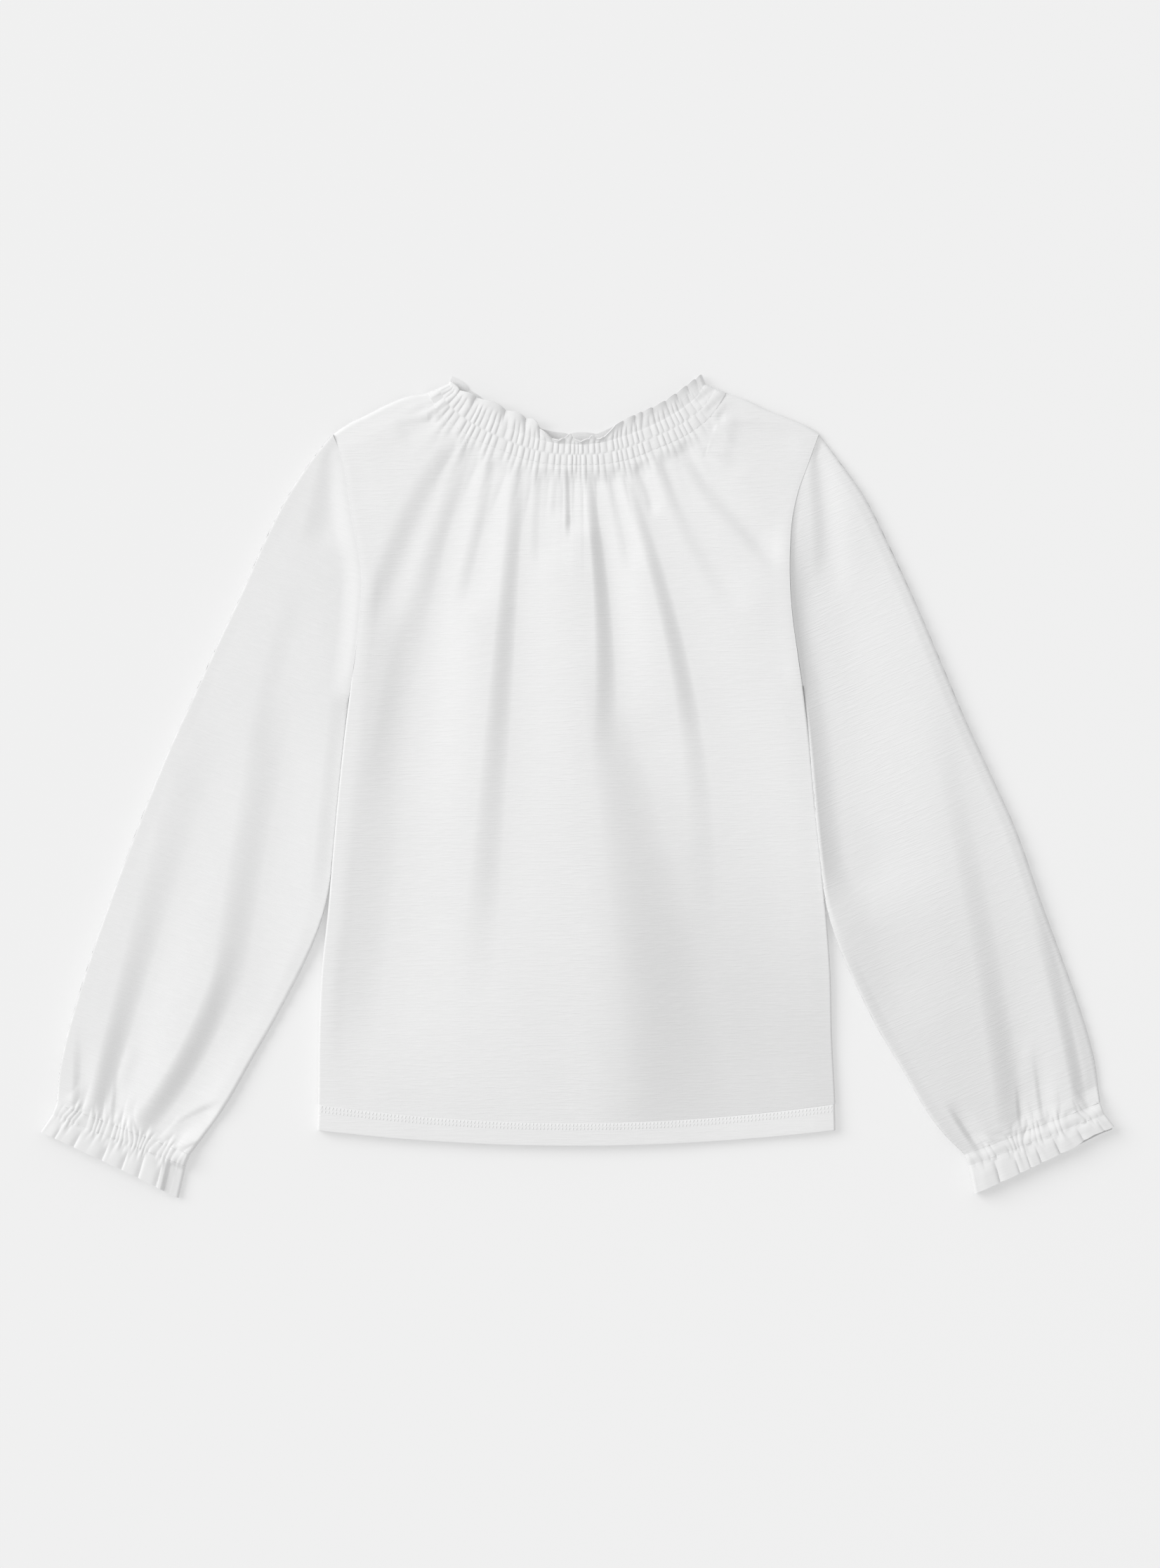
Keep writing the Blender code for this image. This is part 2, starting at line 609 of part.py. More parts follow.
def sleeve_edges(hand, count):
    """Outer and inner fold of a sleeve in plan, with its height and edge radii."""
    knots = np.arange(len(SLEEVE), dtype=float)
    at = np.linspace(0.0, knots[-1], count)
    side = "left" if hand < 0 else "right"
    outer_x = smooth(knots, column(SLEEVE, side + "_x"), at)
    outer_y = smooth(knots, column(SLEEVE, side + "_y"), at)
    inner_y = smooth(knots, column(SLEEVE, "inner_y"), at)
    away = smooth(knots, column(SLEEVE, "away_" + side), at)
    inner_x = side_x(inner_y, hand) + SLEEVE_CLEAR + np.maximum(away, 0.0)
    height = smooth(knots, column(SLEEVE, "height"), at)
    outer_radius = smooth(knots, column(SLEEVE, "outer_" + side), at)
    inner_radius = smooth(knots, column(SLEEVE, "inner_radius"), at)
    outer = np.stack([hand * outer_x, outer_y], axis=1)
    inner = np.stack([hand * inner_x, inner_y], axis=1)
    return outer, inner, height, outer_radius, inner_radius


def tube_section(inner, outer, inner_radius, outer_radius, over_steps, under_steps):
    """Shares around a flattened tube: over the top from its inner fold, and back under."""
    length = np.hypot(*(outer - inner).T)
    quarter = (1.0 - np.cos(QUARTER_STEPS))[:, None]
    low = quarter * inner_radius / length
    high = 1.0 - quarter * outer_radius / length
    spread = np.linspace(0.0, 1.0, over_steps + 1)[1:-1, None]
    over = np.concatenate([low, mix(low[-1], high[-1], spread), high[::-1]])
    spread = np.linspace(1.0, 0.0, under_steps + 1)[:, None]
    under = mix(TUBE_UNDER_RADIUS / length, 1.0 - TUBE_UNDER_RADIUS / length, spread)
    share = np.concatenate([over, under])
    is_top = np.arange(len(share)) < len(over)
    return share, is_top[:, None]


def tube_z(top_z, edge_distance, radius, is_top):
    """Height around a flattened tube: a rounded fold from the under cloth to the top one."""
    rise = top_z - TUBE_SIDE
    bend = np.minimum(radius, rise * rise / LEAST_BEND)
    over = TUBE_SIDE + rise * round_over(edge_distance, bend)
    under = mix(TUBE_SIDE, CLOTH / 2, round_over(edge_distance, TUBE_UNDER_RADIUS))
    return np.where(is_top, over, under)


def armhole_shift(share, first_inner, first_outer, hand, station):
    """Moves the first sections sideways onto the curved armhole seam, fading down the arm."""
    y = mix(UNDERARM_Y, SHOULDER_Y, share)
    clear = mix(SLEEVE_CLEAR, ARMHOLE_CLEAR, ease((y - UNDERARM_Y) / UNDERARM_EASE))
    straight = mix(first_inner[0], first_outer[0], share)
    fade = np.clip(1.0 - station / ARMHOLE_STATIONS, 0.0, 1.0) ** 2
    return (hand * (side_x(y, hand) + clear) - straight) * fade


def make_sleeve(hand, name, folds):
    """A sleeve: one flattened tube from the armhole seam to the wrist elastic."""
    outer, inner, height, outer_radius, inner_radius = sleeve_edges(hand, SLEEVE_SECTIONS)
    dense_outer, dense_inner = sleeve_edges(hand, CURVE_POINTS)[:2]
    share, is_top = tube_section(inner, outer, inner_radius, outer_radius,
                                 SLEEVE_OVER_STEPS, SLEEVE_UNDER_STEPS)
    x = mix(inner[:, 0], outer[:, 0], share)
    y = mix(inner[:, 1], outer[:, 1], share)
    station = np.linspace(0.0, len(SLEEVE) - 1.0, SLEEVE_SECTIONS)[None, :]
    x = x + armhole_shift(share, inner[0], outer[0], hand, station)
    to_inner = distance_to(x, y, dense_inner)
    to_outer = distance_to(x, y, dense_outer)
    top_z = SLEEVE_FLOOR + (height - SLEEVE_FLOOR) * fold_share(x, y, folds)
    seam_curve = np.stack([x[:, 0], y[:, 0]], axis=1)
    to_seam = distance_to(x, y, seam_curve)
    top_z = mix(armhole_z(y), top_z, ease(to_seam / SLEEVE_REACH))
    near_inner = to_inner < to_outer
    radius = np.where(near_inner, inner_radius, outer_radius)
    z = tube_z(np.maximum(top_z, LEAST_TUBE_TOP), np.minimum(to_inner, to_outer), radius, is_top)
    return make_wall(name, x, y, z, CLOTH, JERSEY, closed=True)


def cuff_ends(hand, inner_reach, outer_reach):
    """Inner and outer ends of wrist sections, at distances down the arm from the sleeve."""
    outer, inner = [edge[-1] for edge in sleeve_edges(hand, 2)[:2]]
    along = (outer - inner) / np.hypot(*(outer - inner))
    down = hand * np.array([along[1], -along[0]])
    return inner + inner_reach[:, None] * down, outer + outer_reach[:, None] * down, along


def make_cuff_tube(name, inner, outer, height, waves, wave_height, lift):
    """A short flattened tube at the wrist whose cloth runs in waves."""
    radius = np.full(len(inner), CUFF_RADIUS)
    share, is_top = tube_section(inner, outer, radius, radius, waves * 2, waves)
    length = np.hypot(*(outer - inner).T)
    to_edge = np.minimum(share, 1.0 - share) * length
    turn = np.cos(2.0 * np.pi * waves * share + CUFF_WAVE_TURN)
    wave = turn * ease(to_edge / CUFF_RADIUS)
    z = tube_z(height, to_edge, radius, is_top) + wave_height * wave * is_top
    z = z + lift * (1.0 + wave) * ~is_top
    x = mix(inner[:, 0], outer[:, 0], share)
    y = mix(inner[:, 1], outer[:, 1], share)
    return make_wall(name, x, y, z, CLOTH, SHIRRED, closed=True)


def make_cuff_elastic(row, name):
    """Shirred band at the wrist over the elastic row."""
    reach = mix(ROW_GAP, BAND_LENGTH, HALFWAY)
    inner, outer, _ = cuff_ends(row.hand, reach, reach)
    depth = CUFF_TUCK_HEIGHT * np.array([1.0, PINCHED, 1.0])
    return make_cuff_tube(name, inner, outer, ELASTIC_HEIGHTS, CUFF_TUCKS, depth, CUFF_TUCK_LIFT)


def make_cuff_ruffle(row, name):
    """Ruffle below the wrist elastic, flaring to its edge in soft lobes."""
    start = BAND_LENGTH + ROW_GAP
    inner, outer, along = cuff_ends(row.hand, mix(start, row.inner_reach, HALFWAY),
                                    mix(start, row.outer_reach, HALFWAY))
    flare = (CUFF_FLARE * HALFWAY)[:, None] * along
    depth = CUFF_LOBE_HEIGHT * mix(CUFF_LOBE_START, 1.0, HALFWAY)
    return make_cuff_tube(name, inner - flare, outer + flare, CUFF_RUFFLE_HEIGHTS, CUFF_LOBES,
                          depth, CUFF_LOBE_LIFT)


def centre_on_origin(objects):
    """Moves every mesh so that the garment's bottom centre is the origin."""
    corners = [np.array([vertex.co for vertex in made.data.vertices]) for made in objects]
    every = np.concatenate(corners)
    low = every.min(axis=0)
    high = every.max(axis=0)
    shift = np.array([(low[0] + high[0]) / 2, (low[1] + high[1]) / 2, low[2]])
    for made, points in zip(objects, corners):
        made.data.vertices.foreach_set("co", (points - shift).ravel())
        made.data.update()
    print("centred by", shift, "size", high - low)


def main():
    """Builds every piece of the top."""
    for old in list(bpy.data.objects):
        bpy.data.objects.remove(old, do_unlink=True)
    made = [
        make_back(),
        make_hem_back(),
        make_front(),
        make_hem_front(),
        make_sleeve(-1, "sleeve_left", LEFT_SLEEVE_FOLDS),
        make_sleeve(1, "sleeve_right", RIGHT_SLEEVE_FOLDS),
        make_neck_shirring_back(),
        make_neck_shirring_front(),
        make_neck_ruffle_back(),
        make_neck_ruffle_front(),
    ]
    for row, side in zip(CUFFS, ("left", "right")):
        made.append(make_cuff_elastic(row, "cuff_elastic_" + side))
        made.append(make_cuff_ruffle(row, "cuff_ruffle_" + side))
    centre_on_origin(made)


main()
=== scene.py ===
"""The looks of a girl's long-sleeve jersey top with an elastic-shirred neck, laid flat.

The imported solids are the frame, and each of them is stood for by a finer shell of cloth on the
same form, with the small gathers, folds and stitches that the solids leave out.  Sizes are in
millimetres on the pattern's own plan: X across to the right sleeve, Y up to the neck and Z off
the surface.  A place on the plan is one complex number, X + Y i.  The plan's origin is found
from the frame's boxes, and the meshes are in metres.
"""

import logging
from dataclasses import dataclass, replace
from enum import Enum

import bpy
import numpy as np
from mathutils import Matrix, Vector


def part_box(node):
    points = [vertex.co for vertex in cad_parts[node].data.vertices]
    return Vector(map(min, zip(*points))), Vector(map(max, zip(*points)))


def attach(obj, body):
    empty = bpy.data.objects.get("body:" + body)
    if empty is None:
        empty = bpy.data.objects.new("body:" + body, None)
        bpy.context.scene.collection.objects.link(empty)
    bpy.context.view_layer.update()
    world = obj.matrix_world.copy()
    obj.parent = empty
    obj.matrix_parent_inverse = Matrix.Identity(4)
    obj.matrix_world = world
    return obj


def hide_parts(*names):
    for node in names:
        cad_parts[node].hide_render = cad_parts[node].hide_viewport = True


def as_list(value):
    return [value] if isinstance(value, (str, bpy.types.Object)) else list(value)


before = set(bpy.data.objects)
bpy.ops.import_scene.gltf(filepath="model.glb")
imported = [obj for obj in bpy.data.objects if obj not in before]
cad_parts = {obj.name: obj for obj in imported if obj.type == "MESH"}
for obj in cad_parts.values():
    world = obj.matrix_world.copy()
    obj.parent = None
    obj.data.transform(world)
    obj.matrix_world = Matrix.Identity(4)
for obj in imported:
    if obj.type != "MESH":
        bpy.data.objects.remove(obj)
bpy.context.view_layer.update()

Array = np.ndarray
log = logging.getLogger("jersey_top")

MM = 0.001  # a millimetre in metres
SHELL = 0.7  # thickness of a cloth
SEAM = 0.03  # gap left between two pieces at a seam
UNDER_CLOTH = 0.36  # height of the middle of a cloth that rests on the surface
WHOLE_TURN = 2.0 * np.pi
FLANK_START = 1.1  # a fold's left flank starts to fall this share of its width before the line
FLANK_FOOT = 0.9  # and has fallen this share past it
BELL_SHARE = 1.7  # the wide bell past the foot, over the right flank's width
FOLD_MARGIN = 0.05  # share of a fold's length by which it runs past its two ends
FOLD_FADE = 0.3  # share of its length over which it fades at the far end
LOBE_SKEW = 1.35  # above 1, a ruffle's lobes are highest past their middles
TUCK_SKEW = 1.6  # above 1, so are the tucks
TUCK_FLAT = 2.2  # how flat the tucks' tops are
TUCK_UNEVEN = 0.22  # how much their heights differ
SEAM_DIP_REACH = 1.8  # how far from a seam its slight dip fades
STITCH_LIFT = SHELL / 2 - 0.02  # height of a stitch's middle above that of its cloth
NECK_CHART = 200.0  # width of half the neck's pieces on their chart, where they lie ungathered


class Side(Enum):
    """The two sides of the garment, by the sign of X."""

    LEFT = -1
    RIGHT = 1

    @property
    def word(self) -> str:
        """The side's name in small letters."""
        return self.name.lower()


# ---------------------------------------------------------------- tables of the pattern
@dataclass(frozen=True)
class SideRow:
    """Distance of the body's side line from the centre line, left and right, at a height y."""

    y: float
    left: float
    right: float


@dataclass(frozen=True)
class ShoulderRow:
    """Height of the shoulder fold, left and right, at a distance x from the centre line."""

    x: float
    left: float
    right: float


@dataclass(frozen=True)
class NeckRow:
    """The ruffle's edge and the first and last shirring rows at a share a of the neck."""

    a: float
    edge_x: float
    edge_y: float
    top_x: float
    top_y: float
    low_x: float
    low_y: float


@dataclass(frozen=True)
class SleeveRow:
    """A sleeve section: its outer fold on each side, its inner fold and its height."""

    left_x: float
    left_y: float
    right_x: float
    right_y: float
    inner_y: float
    away_left: float
    away_right: float
    height: float


@dataclass(frozen=True)
class RidgeRow:
    """Height of the front's ridges above the surface at a height y on the plan."""

    y: float
    height: float


@dataclass(frozen=True)
class TuckRow:
    """Spacing and height of the small tucks of the shirring at a share a of the neck."""

    a: float
    pitch: float
    rise: float


@dataclass(frozen=True)
class Lobe:
    """A lobe of a ruffle: its start along the row, its rise, its length's share and its lean."""

    start: float
    rise: float
    reach: float
    lean: float


@dataclass(frozen=True)
class Fold:
    """A soft trough from its start past its middle to its end.

    left and right are its flanks' widths at the start, and end_left and end_right at the end.
    share and end_share are the parts of the cloth's height that it takes away there; below 0 it
    is a ridge.  begin is the part of its length in which it first opens.
    """

    x0: float
    y0: float
    x1: float
    y1: float
    x2: float
    y2: float
    left: float
    right: float
    end_left: float
    end_right: float
    share: float
    end_share: float
    begin: float = 0.12


def table(kind: type, *values: tuple) -> tuple:
    """The rows of a table, each made from its own numbers."""
    return tuple(kind(*row) for row in values)


SIDE = table(SideRow,
    # y, left, right
    (-222, 166, 165.8),
    (-203, 165.2, 165.2),
    (-163, 164.8, 163.2),
    (-118, 162.8, 162),
    (-84, 159.2, 159.4),
    (-55, 156.4, 156.3),
    (-18, 153.1, 152.4),
    (35, 147.6, 147.3),
    (80, 141.8, 141.5),
    (109, 138.4, 137.6),
    (132, 137, 136.1),
    (152, 139.6, 136.3),
    (170, 143.2, 137.7),
    (188, 146, 141.6),
    (206, 149, 148.2),
    (224, 156, 154.8),
)

SHOULDER = table(ShoulderRow,
    # x, left, right
    (82, 256.4, 256.2),
    (95.5, 250.6, 250.6),
    (109, 248, 245.8),
    (121, 243.2, 240),
    (134, 236.6, 235),
    (147, 230.2, 229.4),
    (156, 224, 224),
)

NECK = table(NeckRow,
    # a, edge_x, edge_y, top_x, top_y, low_x, low_y
    (0, 0, 225.8, 0, 217.4, 0, 204.4),
    (0.16, 15.6, 226.4, 15, 218.6, 16.4, 204.9),
    (0.32, 30, 234, 30, 222.6, 33, 208),
    (0.48, 43.5, 239.6, 45, 228.4, 49.5, 214.2),
    (0.62, 54.5, 245.2, 58, 234.8, 64.5, 220.6),
    (0.76, 64.5, 251.8, 69, 241.8, 77.5, 228.4),
    (0.89, 72.5, 257.6, 77, 248.6, 87.5, 237.6),
    (1, 79.5, 262.8, 82, 256.3, 95.5, 250.6),
)

SLEEVE = table(SleeveRow,
    # left_x, left_y, right_x, right_y, inner_y, away_left, away_right, height
    (156, 224, 154.8, 224, 62, 0, 0, 5.6),
    (170, 206.5, 166.5, 208.5, 55, 0, 0, 6.2),
    (187, 180, 184.3, 183, 44, 0, 0, 7.2),
    (201.5, 150.5, 200.5, 151, 29, 0, 0, 7.9),
    (216, 117.5, 216.2, 117, 8, 0, 0, 8.3),
    (232.5, 82.5, 232, 80, -20, 0, 0, 8.5),
    (250, 44.5, 247.7, 43, -50, 0, 0, 8.7),
    (267, 5.5, 264.8, 6, -80, 2.4, 1, 8.8),
    (281.5, -30.5, 281, -30, -113, 11.2, 9.6, 8.9),
    (297, -73, 296.6, -74.5, -149, 28, 25.6, 9.2),
    (309.5, -108, 309.8, -110, -179, 44.6, 42.2, 9.6),
    (321.5, -147, 322.9, -147, -204, 58.6, 55.4, 10),
    (329.3, -179, 331.2, -177, -221, 69.8, 67, 9.8),
    (332.2, -203.8, 334.3, -203.2, -236.3, 81.3, 82, 8.6),
)

RIDGES = table(RidgeRow,
    # y, height
    (-232, 5.8),
    (-190, 8.2),
    (-60, 8.6),
    (80, 8.6),
    (170, 6.9),
    (206, 5.5),
    (262, 5.2),
)

TUCKS = table(TuckRow,
    # a, pitch, rise
    (-1, 4.7, 0.4),
    (-0.84, 4.4, 0.8),
    (-0.5, 4.5, 0.8),
    (-0.25, 4.2, 0.7),
    (0, 3.5, 0.8),
    (0.25, 3.9, 0.8),
    (0.6, 4.3, 0.8),
    (0.78, 4.7, 0.8),
    (0.88, 5.2, 0.25),
    (1, 6, 0.15),
)

FRONT_RUFFLE = table(Lobe,
    # start, rise, reach, lean
    (-1, 1.2, 0.42, 0.6),
    (-0.89, 3.4, 0.62, 1.4),
    (-0.745, 4.2, 0.96, 1.8),
    (-0.505, 3.6, 1, 1.2),
    (-0.355, 4, 0.98, 1.6),
    (-0.255, 2.8, 0.66, -0.8),
    (-0.165, 1.6, 0.24, 0.4),
    (-0.085, 2, 0.8, 0.9),
    (-0.03, 1, 0.2, 0.2),
    (0.08, 1.8, 0.66, -0.6),
    (0.13, 1, 0.34, 0.2),
    (0.18, 1.4, 0.96, 1),
    (0.315, 1.8, 0.98, 0.9),
    (0.4, 1.4, 1, 0.5),
    (0.455, 1.7, 1, 0.8),
    (0.535, 1.3, 0.98, 1),
    (0.64, 1.4, 0.98, 0.9),
    (0.735, 1.6, 0.98, 0.8),
    (0.845, 1.2, 1, 0.8),
    (0.935, 1, 1, 0.6),
)

BACK_RUFFLE = table(Lobe,
    # start, rise, reach, lean
    (-1, 1.4, 1, 0.3),
    (-0.82, 1, 0.9, -0.3),
    (-0.61, 1.2, 0.84, 0.4),
    (-0.42, 0.9, 0.86, -0.2),
    (-0.24, 1.3, 0.98, 0.3),
    (-0.06, 1.1, 1, -0.4),
    (0.12, 1.2, 0.98, 0.3),
    (0.3, 1, 0.85, 0.4),
    (0.5, 1.2, 0.84, -0.3),
    (0.69, 0.9, 0.86, 0.3),
    (0.85, 1.2, 0.95, 0.2),
)

LEFT_CUFF = table(Lobe,
    # start, rise, reach, lean
    (0, 0.8, 1, 0),
    (0.065, 0.2, 1, 0.3),
    (0.118, 2.6, 0.97, -0.5),
    (0.16, 2.4, 0.95, 0.3),
    (0.29, 2.8, 0.95, 0.8),
    (0.41, 3, 0.95, 0.9),
    (0.553, 3.4, 0.97, 1),
    (0.762, 2.8, 0.98, 0.6),
    (0.9, 1.8, 1, 0.2),
)

RIGHT_CUFF = table(Lobe,
    # start, rise, reach, lean
    (0, 2.6, 1, 0.4),
    (0.175, 3, 1, 0.6),
    (0.318, 2, 0.98, 0.2),
    (0.397, 1.8, 0.97, 0.2),
    (0.47, 3, 0.96, 0.5),
    (0.605, 3.2, 0.95, 0.3),
    (0.78, 3, 0.8, 0.2),
    (0.93, 1.6, 0.86, 0),
)

FRONT_FOLDS = table(Fold,
    # x0, y0, x1, y1, x2, y2, left, right, end_left, end_right, share, end_share, begin
    (-81, 217, -104, 176, -132, 100, 7, 7, 9, 11, 0.66, 0.6),
    (-120, 145, -125, 30, -153, -190, 17, 9, 22, 36, 0.6, 0.82, 0.25),
    (-69.5, 216, -90, 155, -125, -20, 5, 10, 15, 18, 0.92, 0.78),
    (-54.7, 206, -63, 167, -77, 112, 3.8, 9, 5.5, 9, 0.72, 0.5),
    (-37, 205, -47.5, 66, -64, -135, 4.8, 9, 12, 26, 0.8, 0.4),
    (-23.6, 204, -26, 176, -27, 138, 2.6, 9, 3.6, 10, 0.62, 0.38),
    (-6.5, 204, -6, 187, -5.6, 158, 1.6, 9, 2.2, 10, 1.15, 0.5),
    (5.6, 204, 15.9, 125, 19, 15, 2.9, 8, 8.8, 14, 1.2, 0.54),
    (14, 70, 42, -50, 78, -255, 12, 16, 40, 70, 0.8, 1, 0.22),
    (18.7, 204, 25.5, 170, 32.5, 134, 2.6, 4.5, 4, 6, 0.85, 0.4),
    (27, 206, 61, 100, 80, -120, 3.8, 8, 11, 46, 0.66, 0.88),
    (52, 213, 70, 163, 103, 110, 4, 7, 7, 12, 0.5, 0.42),
    (60, 216, 90, 180, 128, 136, 3.6, 5.5, 5, 8, 0.68, 0.5),
    (-13, 202, -14.2, 190, -15.5, 170, 1.8, 8, 2.4, 9, 0.45, 0.36),
    (0.7, 199, 1.2, 190, 1.6, 181, 2, 2.5, 2, 3, 0.22, 0.22),
    (37, 203, 41.5, 193, 47.5, 172, 1.8, 2.6, 2.4, 3, 0.7, 0.75),
    (41, 206, 42.2, 202, 43.5, 196, 1.4, 2, 1.4, 2, 0.28, 0.28),
    (80, 211, 90, 202.5, 100, 194, 3, 4, 4, 5, 0.16, 0.16),
    (94, 229, 112, 231, 143, 226, 3, 3, 3, 3, -0.3, -0.3),
    (87, 226, 92, 222.5, 97, 218, 2, 2, 2, 2, -0.16, -0.16),
    (83, 213, 89.5, 210.5, 96, 207, 2, 2, 2, 2, -0.16, -0.16),
    (98, 214, 120, 212, 144, 213, 9, 9, 9, 9, 0.2, 0.2),
    (-94, 246, -104, 240, -118, 233, 8, 8, 7, 7, 0.3, 0.3, 0.3),
)

LEFT_SLEEVE_FOLDS = table(Fold,
    # x0, y0, x1, y1, x2, y2, left, right, end_left, end_right, share, end_share, begin
    (-156, 220, -161.5, 191, -170, 150, 6, 7, 9, 11, 0.42, 0.42),
    (-172, 136, -194, 70, -206, 8, 8, 12, 8, 10, 0.12, 0.16, 0.4),
    (-220, 90, -256, -30, -328, -290, 16, 14, 4.5, 14, 0, 0.95, 0.3),
    (-188, 70, -210, -50, -228, -168, 13, 14, 11, 22, 0.3, 0.88, 0.3),
    (-217.5, -103, -241.5, -165, -303, -246, 10, 22, 8, 10, 0.85, 1.1, 0.35),
    (-150, 80, -158, 0, -166, -85, 5, 12, 6, 12, 0.14, 0.26, 0.4),
    (-229, -204, -253, -214.5, -277, -240, 2, 7, 2.2, 5, 0.75, 1.2, 0.25),
    (-294.5, -180, -296, -200, -300, -244, 1.6, 2.4, 1.6, 2.4, 0.35, 0.5, 0.4),
    (-284, -160, -292, -183, -304, -216, 3, 3, 2, 2, -0.2, -0.2, 0.4),
    (-318, -150, -319, -184, -321, -240, 3, 5, 3, 5, 0.04, 0.4, 0.4),
    (-238, -227, -254, -233, -274, -239, 1.6, 2.4, 1.6, 2.4, 0.45, 0.6, 0.3),
    (-287, -203, -292, -213, -300, -232, 1.8, 2.4, 1.8, 2.4, 0.3, 0.4, 0.4),
)

RIGHT_SLEEVE_FOLDS = table(Fold,
    # x0, y0, x1, y1, x2, y2, left, right, end_left, end_right, share, end_share, begin
    (149, 224, 154, 180, 157, 118, 4, 5, 6, 6, 0.55, 0.52),
    (172, -14, 178, -80, 202, -160, 12, 18, 14, 18, 0.34, 0.3, 0.4),
    (228, 50, 257, -80, 284, -260, 8, 12, 10.5, 14, 0.02, 0.92, 0.2),
    (292, -75, 308, -135, 329.5, -250, 5.5, 30, 5.2, 34, 0.32, 0.82, 0.3),
    (292, -170, 295, -196, 303, -244, 1.8, 4, 1.8, 4, 0.35, 0.5, 0.4),
    (236, -204, 248, -222, 266, -250, 2.2, 3.5, 2.2, 3.5, 0.3, 0.65, 0.35),
    (287, -160, 286, -175, 285, -192, 3, 3, 3, 3, -0.14, -0.14, 0.5),
    (281, -190, 282, -204, 286, -236, 1.4, 3, 1.4, 3, 0.35, 0.5, 0.4),
)

FINGERS = table(Fold,
    # x0, y0, x1, y1, x2, y2, left, right, end_left, end_right, share, end_share, begin
    (73.5, 244.5, 80.5, 250, 90, 258, 2.4, 3, 2.4, 3, -0.9, -0.9, 0.3),
    (79.5, 237, 86.5, 244, 96, 253.5, 2.6, 3.2, 2.6, 3.2, -0.9, -0.9, 0.3),
    (87.5, 233, 93, 239.5, 101, 249.5, 2.6, 3.2, 2.6, 3.2, -0.8, -0.8, 0.3),
    (-112, 238, -97, 243, -83, 253, 2, 2.6, 1.2, 1.4, -0.9, -1, 0.4),
    (-100, 232, -90, 238.5, -80, 247, 1.6, 2.2, 1.1, 1.3, -0.8, -0.9, 0.4),
    (-118, 231, -104, 233, -92, 237, 2, 2.4, 1.4, 1.6, -0.6, -0.6, 0.4),
)

BACK_FOLDS = table(Fold,
    # x0, y0, x1, y1, x2, y2, left, right, end_left, end_right, share, end_share, begin
    (-96, 205, -110, 90, -126, -110, 6, 8, 12, 16, 0.8, 0.8),
    (-62, 196, -70, 120, -96, -20, 5, 7, 9, 12, 0.7, 0.6),
    (-30, 200, -34, 130, -46, -40, 5, 6, 9, 12, 0.6, 0.5),
    (-8, 160, -4, 60, -14, -150, 8, 8, 14, 14, 0.6, 0.7, 0.4),
    (26, 202, 32, 140, 38, 20, 5, 6, 8, 10, 0.7, 0.5),
    (48, 204, 60, 130, 66, -10, 5, 6, 10, 10, 0.5, 0.5),
    (74, 214, 104, 70, 118, -130, 6, 8, 12, 18, 0.8, 0.6),
    (-120, -80, -60, -150, 10, -196, 9, 9, 9, 9, 0.4, 0.4, 0.4),
)


# ---------------------------------------------------------------- curves and surfaces
def column(rows: tuple, name: str) -> Array:
    """One named column of a table, as an array."""
    return np.array([getattr(row, name) for row in rows], float)


def ease(u: Array) -> Array:
    """A soft step from 0 to 1: three squares less two cubes."""
    u = np.clip(u, 0.0, 1.0)
    return u * u * (3.0 - 2.0 * u)


def mix(a: Array, b: Array, u: Array) -> Array:
    """The value a share u of the way from a to b."""
    return a + (b - a) * u


def smooth(knots: Array, values: Array, at: Array) -> Array:
    """A soft curve through a table: cubic pieces with slopes from the neighbouring rows.

    Args:
        knots: The rising places of the table's rows.
        values: The value at each row.
        at: Where to read the curve; it stays level beyond the ends.

    Returns:
        The curve's value at each place.
    """
    slopes = np.gradient(values, knots)
    at = np.clip(at, knots[0], knots[-1])
    low = np.clip(np.searchsorted(knots, at, side="right") - 1, 0, len(knots) - 2)
    span = knots[low + 1] - knots[low]
    u = (at - knots[low]) / span
    start = (2 * u**3 - 3 * u**2 + 1) * values[low] + (u**3 - 2 * u**2 + u) * span * slopes[low]
    end = (3 * u**2 - 2 * u**3) * values[low + 1] + (u**3 - u**2) * span * slopes[low + 1]
    return start + end


def read(rows: tuple, by: str, name: str, at: Array) -> Array:
    """One named column of a table as a soft curve over another."""
    return smooth(column(rows, by), column(rows, name), at)


def quarter_round(distance: Array, radius: Array) -> Array:
    """Rise of a rounded edge: 0 at the edge, 1 at a radius inside it, along a circle."""
    u = 1.0 - np.clip(distance / radius, 0.0, 1.0)
    return np.sqrt(1.0 - u * u)


def folded_edge(full: Array, distance: Array, rim: float, lip: Array, radius: float,
                reach: Array) -> Array:
    """Height in from a folded edge: a tight round from the rim up to a lip, then a soft slope.

    Args:
        full: Height of the cloth well inside.
        distance: Distance inside the edge.
        rim: Height of the fold itself.
        lip: Height just inside the fold.
        radius: Width of the tight round.
        reach: Width of the soft slope.

    Returns:
        The height at each place.
    """
    edge = rim + (lip - rim) * quarter_round(distance, radius)
    return edge + (full - lip) * ease(distance / reach)


def distance_to(place: Array, curve: Array) -> Array:
    """Shortest distance on the plan from each place to a densely sampled curve."""
    return np.abs(place[..., None] - curve).min(axis=-1)


def nearest_on(line: Array, place: Array) -> Array:
    """Which point of a line is nearest to each place on the plan."""
    gap = place[..., None] - line
    return np.argmin(gap.real ** 2 + gap.imag ** 2, axis=-1)


